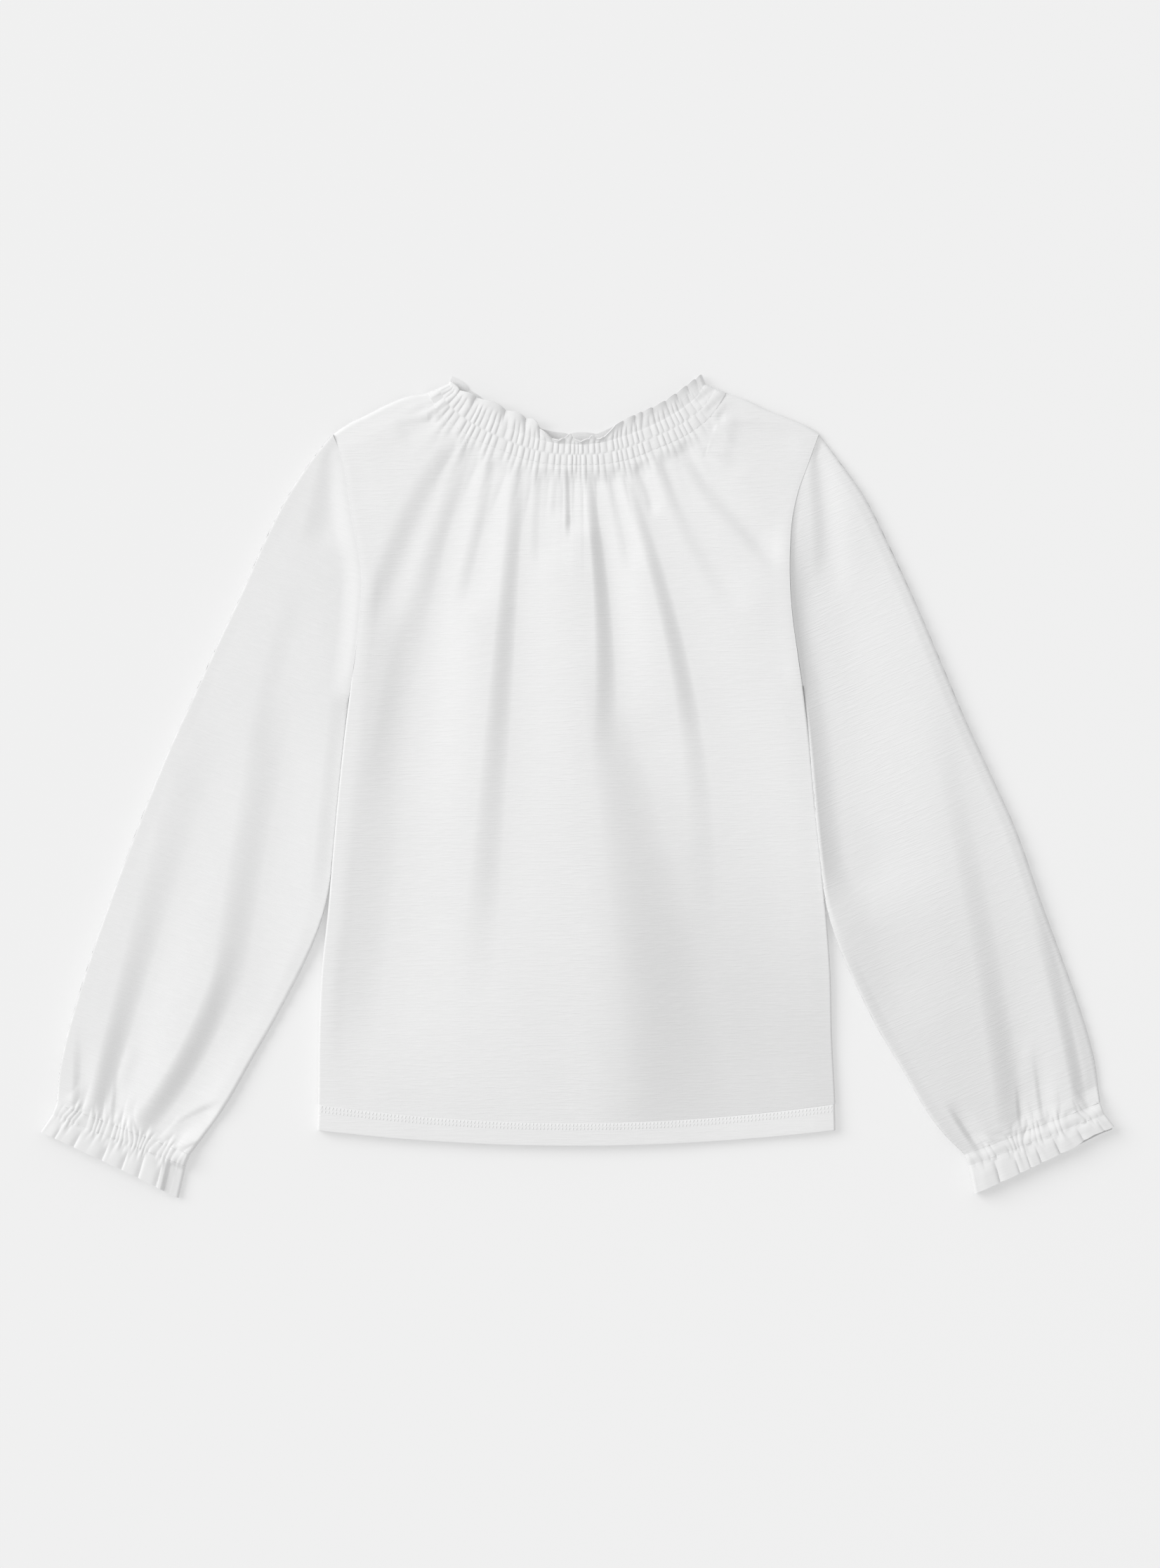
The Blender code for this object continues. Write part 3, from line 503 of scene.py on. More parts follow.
def ripple(place: Array) -> Array:
    """Slight unevenness of soft cloth: a sum of long waves across one another, about -1 to 1.

    Args:
        place: Places on the plan.

    Returns:
        The unevenness at each place.
    """
    x, y = place.real, place.imag
    waves = (
        (1.0, x / 7.1 + 0.9 * np.sin(y / 31.0)),
        (0.8, x / 11.3 - y / 47.0 + 2.0),
        (0.7, y / 13.7 + x / 29.0 + 1.1 * np.sin(x / 23.0)),
        (0.6, y / 7.9 - x / 17.0 + 4.0),
        (0.5, x / 5.3 + y / 9.7 + 1.3 * np.sin(y / 19.0)),
    )
    return sum(part * np.sin(phase) for part, phase in waves) / sum(part for part, _ in waves)


def fold_depth(place: Array, fold: Fold, samples: int = 90) -> Array:
    """How much of the cloth's height one fold takes away: all its share at its flank's foot.

    The fold's line is a parabola through its three points, and its left flank falls in a soft
    step that is steepest on that line.  Past the foot the cloth rises again as a wide bell, and
    both fade at the ends.

    Args:
        place: Places on the plan.
        fold: The fold.
        samples: Points read along the line.

    Returns:
        The depth at each place.
    """
    start, middle, end = (fold.x0 + 1j * fold.y0, fold.x1 + 1j * fold.y1,
                          fold.x2 + 1j * fold.y2)
    mid = abs(middle - start) / (abs(middle - start) + abs(end - middle))
    bend = (middle - mix(start, end, mid)) / (mid * (1.0 - mid))
    t = np.linspace(0.0, 1.0, samples)
    line = mix(start, end, t) + bend * t * (1.0 - t)
    nearest = nearest_on(line, place)
    way = (end - start + bend * (1.0 - 2.0 * t))[nearest]
    gap = (place - line[nearest]) / way
    u = t[nearest] + gap.real
    off = gap.imag * np.abs(way)
    inside = np.clip(u, 0.0, 1.0)
    left = mix(fold.left, fold.end_left, inside)
    right = mix(fold.right, fold.end_right, inside)
    fall = ease((off + FLANK_START * left) / ((FLANK_START + FLANK_FOOT) * left))
    past = np.maximum(off - FLANK_FOOT * left, 0.0)
    along = ease((u + FOLD_MARGIN) / fold.begin) * ease((1.0 + FOLD_MARGIN - u) / FOLD_FADE)
    part = mix(fold.share, fold.end_share, inside)
    return part * along * fall * np.exp(-(past / (BELL_SHARE * right)) ** 2)


def kept(place: Array, folds: tuple) -> Array:
    """Share of the cloth's height left after all the folds: the product of what each leaves.

    Args:
        place: Places on the plan.
        folds: The folds.

    Returns:
        The share that is left at each place.
    """
    left = np.ones(place.shape)
    for fold in folds:
        left = left * (1.0 - fold_depth(place, fold))
    return left


def lobe_field(share: Array, lobes: tuple,
               flat: float) -> tuple[Array, Array, Array, Array]:
    """Lobes side by side along a row: each is a rounded hump that meets the next in a crease.

    Args:
        share: Places along the row, in the same terms as the lobes' starts, up to 1.
        lobes: The lobes, in order of their starts.
        flat: How flat their tops are: the higher, the narrower the creases.

    Returns:
        The hump (0 in a crease, 1 on top), and the rise, reach and lean at each place.
    """
    starts = column(lobes, "start")
    ends = np.append(starts[1:], 1.0)
    which = np.clip(np.searchsorted(starts, share, side="right") - 1, 0, len(lobes) - 1)
    u = np.clip((share - starts[which]) / (ends[which] - starts[which]), 0.0, 1.0)
    hump = 1.0 - np.abs(2.0 * u ** LOBE_SKEW - 1.0) ** flat
    middles = (starts + ends) / 2
    reach = np.interp(share, middles, column(lobes, "reach"))
    return hump, column(lobes, "rise")[which], reach, column(lobes, "lean")[which]


def tuck_shape(phase: Array) -> Array:
    """Small tucks, one to each whole step of phase: rounded on top, with a sharp crease between.

    Each is highest a little past its middle, and the height changes from tuck to tuck.

    Args:
        phase: How many tucks have been passed, with the part of the next one.

    Returns:
        The rise, from 0 in a crease to about 1.
    """
    number = np.floor(phase)
    part = (phase - number) ** TUCK_SKEW
    sway = np.sin(number * 2.4 + 0.7 * np.sin(number * 0.9))
    return (1.0 - np.abs(2.0 * part - 1.0) ** TUCK_FLAT) * (1.0 - TUCK_UNEVEN * (1.0 - sway))


@dataclass(frozen=True)
class Gather:
    """Wider tucks, into which the small ones run together at a distance from their row.

    step is how many small tucks make one, and shift moves it along the row.  It opens from start
    over opening, fades from end over fading, and rises by height times the small tucks'.
    """

    step: float
    shift: float
    start: float
    opening: float
    end: float
    fading: float
    height: float

    def rise(self, count: Array, away: Array) -> Array:
        """Their rise where count small tucks have been passed, at a distance from the row.

        Args:
            count: How many small tucks have been passed.
            away: Distances from the row.

        Returns:
            The rise at each place.
        """
        opened = ease((away - self.start) / self.opening)
        left = 1.0 - ease((away - self.end) / self.fading)
        return self.height * tuck_shape(count / self.step + self.shift) * opened * left


NECK_GATHERS = table(Gather, (2, 0.3, 4, 8, 12, 34, 0.6), (4, 0.15, 12, 14, 28, 60, 0.4))
WRIST_GATHERS = table(Gather, (2, 0.3, 0, 4, 3, 8, 0.9), (4, 0.1, 3, 6, 8, 16, 0.7))


# ---------------------------------------------------------------- meshes
def grid(place: Array, *heights: Array | float) -> Array:
    """The points of a grid, from their places and heights, or of its chart, from places alone."""
    return np.stack(np.broadcast_arrays(place.real, place.imag, *heights), axis=-1)


def shares(across: int, along: int) -> tuple[Array, Array]:
    """Shares from -1 to 1 across and from 0 to 1 along, as a grid's two directions."""
    return np.linspace(-1.0, 1.0, across)[:, None], np.linspace(0.0, 1.0, along)[None, :]


def put(name: str, data: bpy.types.ID) -> bpy.types.Object:
    """An object of its own in the scene for a mesh, a camera or a lamp.

    Args:
        name: The object's name.
        data: What it shows.

    Returns:
        The object.
    """
    made = bpy.data.objects.new(name, data)
    bpy.context.scene.collection.objects.link(made)
    return made


def lay_chart(mesh: bpy.types.Mesh, places: Array) -> None:
    """Gives a mesh its chart, from a place in millimetres for each corner of its faces.

    Args:
        mesh: The mesh.
        places: The places, in the order of the corners.
    """
    layer = mesh.uv_layers.new(name="Chart")
    layer.data.foreach_set("uv", (places * MM).astype(np.float32).ravel())
    mesh.update(calc_edges=True)


@dataclass
class Cloth:
    """A grid of points of one cloth, in millimetres on the plan.

    points has a row for each step across and a column for each step along, and chart holds the
    same places on the flat cloth, which the knit follows.  closed joins the last row to the
    first.  A solid one has its two ends closed.
    """

    points: Array
    chart: Array
    closed: bool = False
    solid: bool = False

    def quads(self) -> tuple[Array, Array]:
        """Corners of the grid's faces, and the chart at those corners, in the same order.

        Returns:
            Four corners for each face, and four places for each face.
        """
        rows, columns = self.points.shape[:2]
        steps = rows if self.closed else rows - 1
        i = np.arange(steps)[:, None]
        j = np.arange(columns - 1)[None, :]
        here = i * columns + j
        after = ((i + 1) % rows) * columns + j
        corners = np.stack([here, here + 1, after + 1, after], axis=-1).reshape(-1, 4)
        chart = np.concatenate([self.chart, self.chart[:1]]) if self.closed else self.chart
        places = np.stack([chart[:steps, :-1], chart[:steps, 1:], chart[1:steps + 1, 1:],
                           chart[1:steps + 1, :-1]], axis=2).reshape(-1, 4, 2)
        return corners, places

    def faces(self, corners: Array) -> tuple[Array, Array]:
        """Each face's middle, and the cross product of its diagonals, twice its area."""
        at = self.points.reshape(-1, 3)[corners]
        return at.mean(axis=1), np.cross(at[:, 2] - at[:, 0], at[:, 3] - at[:, 1])

    def area(self) -> float:
        """Area of the cloth in square metres."""
        return float(np.linalg.norm(self.faces(self.quads()[0])[1], axis=1).sum() / 2) * MM * MM

    def outward(self, corners: Array) -> bool:
        """Whether the faces look up, on an open cloth, or out, on a closed one.

        Args:
            corners: The corners of the faces.

        Returns:
            Whether they do.
        """
        middle, cross = self.faces(corners)
        if self.closed:
            return float((cross * (middle - middle.mean(axis=0))).sum()) > 0.0
        return float(cross[:, 2].sum()) > 0.0

    def border(self, mesh: bpy.types.Mesh) -> Array:
        """Whether each edge lies on the grid's border, where the cloth's shading breaks.

        Args:
            mesh: The grid's mesh.

        Returns:
            True for each edge on the border.
        """
        rows, columns = self.points.shape[:2]
        ends = np.zeros(2 * len(mesh.edges), np.int32)
        mesh.edges.foreach_get("vertices", ends)
        i, j = np.divmod(ends.reshape(-1, 2), columns)
        found = (j == 0).all(axis=1) | (j == columns - 1).all(axis=1)
        if self.solid or not self.closed:
            found = found | (i == 0).all(axis=1) | (i == rows - 1).all(axis=1)
        return found

    def build(self, name: str, finish: bpy.types.Material, origin: Array,
              thickness: float = SHELL) -> bpy.types.Object:
        """Makes the object: the grid's faces, smooth, with the cloth's thickness.

        Args:
            name: The piece's name.
            finish: Its material.
            origin: The plan's origin in the row frame, in millimetres.
            thickness: The cloth's thickness in millimetres, half to each side; 0 leaves it off.

        Returns:
            The new object.
        """
        corners, places = self.quads()
        if not self.outward(corners):
            corners = corners[:, ::-1]
            places = places[:, ::-1]
        turned = corners.ravel()
        starts = np.arange(0, corners.size, 4, dtype=np.int32)
        spread = places.reshape(-1, 2)
        if self.solid:
            rows, columns = self.points.shape[:2]
            ring = np.arange(rows) * columns
            caps = np.concatenate([ring, ring[::-1] + columns - 1])
            starts = np.append(starts, [corners.size, corners.size + rows]).astype(np.int32)
            turned = np.concatenate([turned, caps])
            spread = np.concatenate([spread, self.points.reshape(-1, 3)[caps][:, 1:]])
        mesh = bpy.data.meshes.new(name)
        spots = (self.points.reshape(-1, 3) + origin) * MM
        mesh.vertices.add(len(spots))
        mesh.vertices.foreach_set("co", spots.astype(np.float32).ravel())
        mesh.loops.add(len(turned))
        mesh.loops.foreach_set("vertex_index", turned.astype(np.int32))
        mesh.polygons.add(len(starts))
        mesh.polygons.foreach_set("loop_start", starts)
        mesh.polygons.foreach_set("use_smooth", np.ones(len(starts), bool))
        lay_chart(mesh, spread)
        mesh.edges.foreach_set("use_edge_sharp", self.border(mesh))
        mesh.materials.append(finish)
        log.info("%s: %.5f square metres in its grid", name, self.area())
        made = put(name, mesh)
        if thickness > 0.0:
            wall = made.modifiers.new("Thickness", "SOLIDIFY")
            wall.thickness = thickness * MM
            wall.offset = 0.0
        return made


# ---------------------------------------------------------------- shader maths
class Value:
    """A shader socket that can stand in a Python sum."""

    def __init__(self, shader: "Shader", socket: bpy.types.NodeSocket) -> None:
        """Holds one output socket of a shader."""
        self.shader = shader
        self.socket = socket

    def __add__(self, other: "Value | float") -> "Value":
        """This plus other."""
        return self.shader.maths("ADD", self, other)

    def __radd__(self, other: float) -> "Value":
        """Other plus this."""
        return self.shader.maths("ADD", other, self)

    def __sub__(self, other: "Value | float") -> "Value":
        """This less other."""
        return self.shader.maths("SUBTRACT", self, other)

    def __rsub__(self, other: float) -> "Value":
        """Other less this."""
        return self.shader.maths("SUBTRACT", other, self)

    def __mul__(self, other: "Value | float") -> "Value":
        """This times other."""
        return self.shader.maths("MULTIPLY", self, other)

    def __rmul__(self, other: float) -> "Value":
        """Other times this."""
        return self.shader.maths("MULTIPLY", other, self)

    def __truediv__(self, other: "Value | float") -> "Value":
        """This over other."""
        return self.shader.maths("DIVIDE", self, other)

    def __rtruediv__(self, other: float) -> "Value":
        """Other over this."""
        return self.shader.maths("DIVIDE", other, self)

    def sine(self) -> "Value":
        """The sine of this."""
        return self.shader.maths("SINE", self, 0.0)

    def clamped_range(self, low: float, high: float) -> "Value":
        """This as a soft share of the way from low to high, from 0 to 1.

        Args:
            low: The value that gives 0.
            high: The value that gives 1.

        Returns:
            The share.
        """
        node = self.shader.node("ShaderNodeMapRange", {"interpolation_type": "SMOOTHSTEP"},
                                {"Value": self, "From Min": low, "From Max": high})
        return Value(self.shader, node.outputs["Result"])


class Shader:
    """The nodes of one material."""

    def __init__(self, name: str) -> None:
        """Starts a material with nothing but its output.

        Args:
            name: The material's name.
        """
        self.material = bpy.data.materials.new(name)
        self.material.use_nodes = True
        self.tree = self.material.node_tree
        self.tree.nodes.clear()
        self.output = self.tree.nodes.new("ShaderNodeOutputMaterial")

    def node(self, kind: str, settings: dict, sockets: dict) -> bpy.types.Node:
        """Adds a node.

        Args:
            kind: The node's type.
            settings: Its own properties, which are set first.
            sockets: Values, sockets or Value objects for its inputs, by name.

        Returns:
            The node.
        """
        made = self.tree.nodes.new(kind)
        for key, value in settings.items():
            setattr(made, key, value)
        for key, value in sockets.items():
            self.feed(made.inputs[key], value)
        return made

    def feed(self, socket: bpy.types.NodeSocket, value: object) -> None:
        """Links or sets one input.

        Args:
            socket: The input.
            value: What is linked or set.
        """
        if isinstance(value, Value):
            self.tree.links.new(value.socket, socket)
        elif isinstance(value, bpy.types.NodeSocket):
            self.tree.links.new(value, socket)
        else:
            socket.default_value = value

    def maths(self, operation: str, a: Value | float, b: Value | float) -> Value:
        """A Math node on two values."""
        return Value(self, self.node("ShaderNodeMath", {"operation": operation},
                                     {0: a, 1: b}).outputs[0])

    def parts(self, vector: bpy.types.NodeSocket) -> tuple[Value, Value]:
        """A vector's X and Y."""
        made = self.node("ShaderNodeSeparateXYZ", {}, {"Vector": vector})
        return Value(self, made.outputs["X"]), Value(self, made.outputs["Y"])

    def place(self) -> tuple[Value, Value]:
        """X and Y on the object, in metres."""
        return self.parts(self.node("ShaderNodeTexCoord", {}, {}).outputs["Object"])

    def chart(self) -> tuple[bpy.types.NodeSocket, Value, Value]:
        """The cloth's own chart in millimetres: as a vector, across and along.

        Returns:
            The vector's socket, and its two parts.
        """
        places = self.node("ShaderNodeUVMap", {"uv_map": "Chart"}, {})
        scaled = self.node("ShaderNodeMapping", {"vector_type": "POINT"},
                           {"Vector": places.outputs["UV"], "Scale": (1.0 / MM,) * 3})
        return scaled.outputs["Vector"], *self.parts(scaled.outputs["Vector"])

    def bumped(self, height: Value) -> bpy.types.NodeSocket:
        """The normal of a relief whose height is in millimetres."""
        return self.node("ShaderNodeBump", {}, {"Strength": 1.0, "Distance": MM,
                                                "Height": height}).outputs["Normal"]

    def surfaced(self, sockets: dict) -> bpy.types.Material:
        """The finished material, with these inputs of its surface.

        Args:
            sockets: The inputs, by name.

        Returns:
            The material.
        """
        surface = self.node("ShaderNodeBsdfPrincipled", {}, sockets)
        self.feed(self.output.inputs["Surface"], surface.outputs[0])
        return self.material

    def noise(self, place: bpy.types.NodeSocket, across: float, along: float,
              detail: float) -> Value:
        """Noise whose spots are about across by along millimetres, from 0 to 1.

        Args:
            place: The vector that it is read at.
            across: A spot's width.
            along: A spot's length.
            detail: How much finer noise is added.

        Returns:
            The noise.
        """
        sized = self.node("ShaderNodeMapping", {"vector_type": "POINT"},
                          {"Vector": place, "Scale": (1.0 / across, 1.0 / along, 1.0)})
        made = self.node("ShaderNodeTexNoise", {"noise_dimensions": "2D"},
                         {"Vector": sized.outputs["Vector"], "Scale": 1.0, "Detail": detail})
        return Value(self, made.outputs["Fac"])

    def grey(self, share: Value, dark: float, light: float) -> bpy.types.NodeSocket:
        """A neutral colour between two tones, by a share from 0 to 1.

        Args:
            share: The share.
            dark: The tone at 0.
            light: The tone at 1.

        Returns:
            The colour's socket.
        """
        made = self.node("ShaderNodeMix", {"data_type": "RGBA"}, {
            0: share, 6: (dark, dark, dark, 1.0), 7: (light, light, light, 1.0)})
        return made.outputs[2]


# ---------------------------------------------------------------- finishes
@dataclass(frozen=True)
class Jersey:
    """White slub jersey: fine knitted columns and courses, thick and thin stretches of yarn.

    tone is the mean colour, slub the strength of the streaks, and stretch how much the knit
    opens across, as on shirred cloth.  wale and course are the widths of its columns and rows.
    dusk is the share of painted shade that darkens it softly towards the garment's lower right,
    where the light falls off, and painted_shade_lean how much lower down that starts farther to the
    right.
    """

    name: str
    tone: float = 0.84
    slub: float = 1.0
    stretch: float = 1.0
    wale: float = 0.74
    course: float = 0.56
    painted_shade: float = 0.0
    painted_shade_lean: float = 0.6

    def material(self) -> bpy.types.Material:
        """The cloth's material: knit and slub in its bump, slub tone in its colour, and painted
        shade towards the garment's lower right where dusk is above 0.

        Returns:
            The material.
        """
        shader = Shader(self.name)
        place, across, along = shader.chart()
        streak = shader.noise(place, 8.5, 0.85, 2.5).clamped_range(0.34, 0.72)
        long_streak = shader.noise(place, 24.0, 1.7, 2.0).clamped_range(0.40, 0.70)
        cloud = shader.noise(place, 16.0, 12.0, 3.0)
        wander = shader.noise(place, 5.0, 5.0, 1.0) * 2.6
        wale = (across * (WHOLE_TURN / (self.wale * self.stretch)) + wander).sine()
        course = (along * (WHOLE_TURN / self.course) + wale * 0.9).sine()
        knit = wale * 0.5 + course * 0.5
        height = (knit * 0.013 + streak * (0.055 * self.slub) + long_streak * (0.05 * self.slub)
                  + cloud * 0.10)
        shade = (streak * (0.30 * self.slub) + long_streak * (0.22 * self.slub)
                 + cloud * 0.32 + knit * 0.05 + 0.12)
        normal = shader.bumped(height)
        rough = 0.88 + 0.08 * streak
        tone = shade * 0.036 + (self.tone - 0.018)
        # painted shade: the tone is darkened softly towards the garment's lower right, where the
        # light falls off
        if self.painted_shade > 0.0:
            right, up = [way * (1.0 / MM) for way in shader.place()]
            lower = -1.0 * up - self.painted_shade_lean * (right - 80.0)
            painted_shade_mask = right.clamped_range(0.0, 50.0) * lower.clamped_range(-20.0, 135.0)
            tone = tone * (1.0 - painted_shade_mask * self.painted_shade)
        return shader.surfaced({
            "Base Color": tone,
            "Roughness": rough,
            "Normal": normal,
            "Specular IOR Level": 0.18,
            "Sheen Weight": 0.12,
            "Sheen Roughness": 0.6,
        })


@dataclass(frozen=True)
class Thread:
    """White sewing thread: a fine two-ply twist along each stitch."""

    name: str = "sewing_thread"
    tone: float = 0.87

    def material(self) -> bpy.types.Material:
        """The thread's material, with the twist in its bump.

        Returns:
            The material.
        """
        shader = Shader(self.name)
        _, across, along = shader.chart()
        twist = (along * 9.0 + across * 5.0).sine()
        return shader.surfaced({
            "Normal": shader.bumped(twist * 0.03),
            "Base Color": shader.grey(twist * 0.5 + 0.5, self.tone - 0.03, self.tone + 0.02),
            "Roughness": 0.6,
            "Sheen Weight": 0.1,
        })


@dataclass(frozen=True)
class Backdrop:
    """The plain pale surface that the garment lies on: as bright all over as its level."""

    name: str = "pale_backdrop"
    level: float = 0.871
    glow: float = 0.36
    even: float = 0.69
    fading: float = 0.26

    def material(self, studio: "Studio") -> bpy.types.Material:
        """A matt pale sheet lit a little from behind, toned evenly against the key's falloff.

        Its tone is the level less the glow, over the even light and the fading.  The fading is
        as 1 less s c / d, over the square of 1 less 2 s c / d plus the square of r / d, where s
        is the distance towards the lamp on the plan, c the cosine of its elevation, d its
        distance and r the distance from the middle.

        Args:
            studio: The studio, for whose key light it is toned.

        Returns:
            The material.
        """
        shader = Shader(self.name)
        across, up = shader.place()
        rise = np.radians(studio.key_elevation)
        turn = np.radians(studio.key_azimuth)
        lean = float(np.cos(rise) / studio.key_distance)
        toward = across * float(lean * np.cos(turn)) + up * float(lean * np.sin(turn))
        spread = (across * across + up * up) * (1.0 / studio.key_distance ** 2)
        gap = 1.0 - toward * 2.0 + spread
        lit = self.even + (1.0 - toward) * self.fading / (gap * gap)
        return shader.surfaced({
            "Base Color": (self.level - self.glow) / lit,
            "Roughness": 1.0,
            "Specular IOR Level": 0.0,
            "Emission Color": (1.0, 1.0, 1.0, 1.0),
            "Emission Strength": self.glow,
        })


# ---------------------------------------------------------------- the pattern as it lies
@dataclass(frozen=True)
class Pattern:
    """The garment's plan as it lies: side lines, shoulder folds, neck rows and hem."""

    shoulder_y: float = 224.0
    underarm_y: float = 62.0
    hem_seam_y: float = -216.2
    hem_seam_rise: float = 12.0
    hem_edge_y: float = -231.2
    hem_edge_rise: float = 10.0
    hem_half: float = 166.0
    neck_end_x: float = 95.5
    neck_share: float = 0.72
    spread_rate: float = 1.15
    shoulder_radius: float = 2.0
    shoulder_reach: float = 14.0
    shoulder_share: float = 0.75
    finger_rise: float = 1.3
    closing_above: float = 12.0
    closing_reach: float = 26.0

    def origin(self) -> Array:
        """The plan's origin in the row frame, in millimetres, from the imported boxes.

        Returns:
            X, Y and Z of the origin.
        """
        band_low, band_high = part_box("neck_shirring_back")
        hem_low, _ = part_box("hem_back")
        middle = (band_low.x + band_high.x) / 2 / MM
        return np.array([middle, hem_low.y / MM - self.hem_edge_y, 0.0])

    def side_x(self, y: Array, side: Side) -> Array:
        """Distance of the side line from the centre line at a height y."""
        return read(SIDE, "y", side.word, y)

    def side_half(self, y: Array, q: Array) -> Array:
        """Distance of the side line on the side that q lies on."""
        return np.where(q < 0, self.side_x(y, Side.LEFT), self.side_x(y, Side.RIGHT))

    def shoulder_line(self, x: Array, side: Side) -> Array:
        """Height of the shoulder fold at a distance x from the centre line."""
        return read(SHOULDER, "x", side.word, x)

    def shoulder_folds(self, samples: int = 160) -> Array:
        """Both shoulder folds as one set of places on the plan.

        Args:
            samples: Points on each.

        Returns:
            The places.
        """
        parts = []
        for side in Side:
            x = np.linspace(SHOULDER[0].x, self.side_x(self.shoulder_y, side), samples)
            parts.append(side.value * x + 1j * self.shoulder_line(x, side))
        return np.concatenate(parts)

    def neck_tips(self, samples: int = 30) -> Array:
        """The ruffle's two short ends at the shoulders, as places on the plan.

        Args:
            samples: Points on each.

        Returns:
            The places.
        """
        ends = np.array([-1.0, 1.0])
        return np.linspace(self.neck_row(ends, "top"), self.neck_row(ends, "edge"),
                           samples).ravel()

    def neck_row(self, a: Array, name: str) -> Array:
        """A row of the neck, named edge, top or low, at shares a from -1 left to 1 right."""
        x = np.sign(a) * read(NECK, "a", name + "_x", np.abs(a))
        return x + 1j * read(NECK, "a", name + "_y", np.abs(a))

    def body_top(self, q: Array) -> Array:
        """The body's upper line: the last shirring row, then the shoulder folds.

        Args:
            q: Shares across, from -1 at the left side to 1 at the right.

        Returns:
            The line's places.
        """
        neck = self.neck_row(np.clip(q / self.neck_share, -1.0, 1.0), "low")
        out = np.clip((np.abs(q) - self.neck_share) / (1.0 - self.neck_share), 0.0, 1.0)
        tip = self.side_half(np.array(self.shoulder_y), q)
        x = mix(self.neck_end_x, tip, out)
        y = np.where(q < 0, self.shoulder_line(x, Side.LEFT), self.shoulder_line(x, Side.RIGHT))
        return np.where(np.abs(q) <= self.neck_share, neck, np.sign(q) * x + 1j * y)

    def hem_seam(self, x: Array) -> Array:
        """Height on the plan of the hem's seam, lowest at the centre."""
        return self.hem_seam_y + self.hem_seam_rise * (np.abs(x) / self.hem_half) ** 2

    def hem_edge(self, x: Array) -> Array:
        """Height on the plan of the hem's lower edge, lowest at the centre."""
        return self.hem_edge_y + self.hem_edge_rise * (np.abs(x) / self.hem_half) ** 2

    def body_plan(self, q: Array, f: Array) -> tuple[Array, Array, Array]:
        """Plan of a body panel on lines that fan out from the neck to the hem.

        Args:
            q: Shares across, from -1 at the left side to 1 at the right.
            f: Shares down, from 0 at the upper line to 1 at the hem's seam.

        Returns:
            The places, their distances inside the side line, and those below the upper line.
        """
        q = q[:, None]
        f = f[None, :]
        top = self.body_top(q)
        low_y = self.hem_seam(q * self.hem_half) + SEAM / 2
        y = mix(top.imag, low_y, f)
        start = np.abs(top.real) / self.side_half(top.imag, q)
        across = mix(start, np.abs(q), ease(self.spread_rate * f))
        half = self.side_half(y, q)
        return np.sign(q) * across * half + 1j * y, (1.0 - across) * half, top.imag - y

    def side_closed(self, y: Array) -> Array:
        """0 along the armhole, where the side is open to the sleeve; 1 at the side seam."""
        return ease((self.underarm_y + self.closing_above - y) / self.closing_reach)

    def ridge_z(self, y: Array) -> Array:
        """Height of the front's ridges, which its open sides keep at the armholes."""
        return read(RIDGES, "y", "height", y)

    def gather_place(self, place: Array) -> tuple[Array, Array]:
        """The neck's share and the distance of the last shirring row's nearest point.

        Args:
            place: Places on the plan.

        Returns:
            The share, from -1 to 1, and the distance.
        """
        dense = np.linspace(-1.0, 1.0, 401)
        row = self.neck_row(dense, "low")
        nearest = nearest_on(row, place)
        gap = place - row[nearest]
        a = dense[nearest] + (gap / np.gradient(row, dense)[nearest]).real
        return np.clip(a, -1.0, 1.0), np.abs(gap)

    def tuck_count(self, a: Array) -> Array:
        """Tucks passed along the last shirring row up to a share a, a little unevenly.

        Args:
            a: Shares of the neck, from -1 at the left to 1 at the right.

        Returns:
            The count, with the part of the next tuck.
        """
        dense = np.linspace(-1.0, 1.0, 801)
        pitch = np.interp(dense, column(TUCKS, "a"), column(TUCKS, "pitch"))
        step = np.abs(np.diff(self.neck_row(dense, "low"))) / pitch[1:]
        count = np.concatenate([[0.0], np.cumsum(step)])
        sway = 0.25 * np.sin(19.5 * a) + 0.12 * np.sin(45.9 * a)
        return np.interp(a, dense, count) + sway

    def tuck_rise(self, a: Array) -> Array:
        """Height of the tucks at a share a of the neck."""
        return np.interp(a, column(TUCKS, "a"), column(TUCKS, "rise"))

    def fingers(self, place: Array) -> Array:
        """Rise of the wide soft folds that run up to the shoulders past the shirring's ends."""
        return self.finger_rise * (kept(place, FINGERS) - 1.0)

    def neck_rise(self, place: Array) -> Array:
        """Rise of the neck's pieces from the shoulder folds and the ruffle's ends inwards.

        Args:
            place: Places on the plan.

        Returns:
            The share of the full height, from 0 to 1.
        """
        ends = np.concatenate([self.shoulder_folds(), self.neck_tips()])
        distance = distance_to(place, ends)
        tight = quarter_round(distance, self.shoulder_radius)
        return mix(ease(distance / self.shoulder_reach), tight, self.shoulder_share)


@dataclass(frozen=True)
class Wardrobe:
    """What every piece shares: the pattern, its origin in the row frame and the finishes."""

    pattern: Pattern
    origin: Array
    body: bpy.types.Material
    front: bpy.types.Material
    right_sleeve: bpy.types.Material
    shirred: bpy.types.Material
    hem: bpy.types.Material
    thread: bpy.types.Material


@dataclass(frozen=True)
class Cut:
    """A piece's cut on the flat cloth: width, length and area, in metres, and how it is held."""

    width: float
    length: float
    area: float
    held: str
    rests_on: tuple


def dress(made: bpy.types.Object, node: str, cut: Cut | None = None) -> None:
    """Puts a piece in the frame: on its body, with the solid that it stands for hidden.

    Args:
        made: The piece.
        node: The solid that it stands for.
        cut: The cut of a sheet, or None; nothing is done with it.
    """
    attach(made, "root")
    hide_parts(node)
    if cut is not None:
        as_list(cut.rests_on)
    log.info("%s stands for %s with %d faces", made.name, node, len(made.data.polygons))


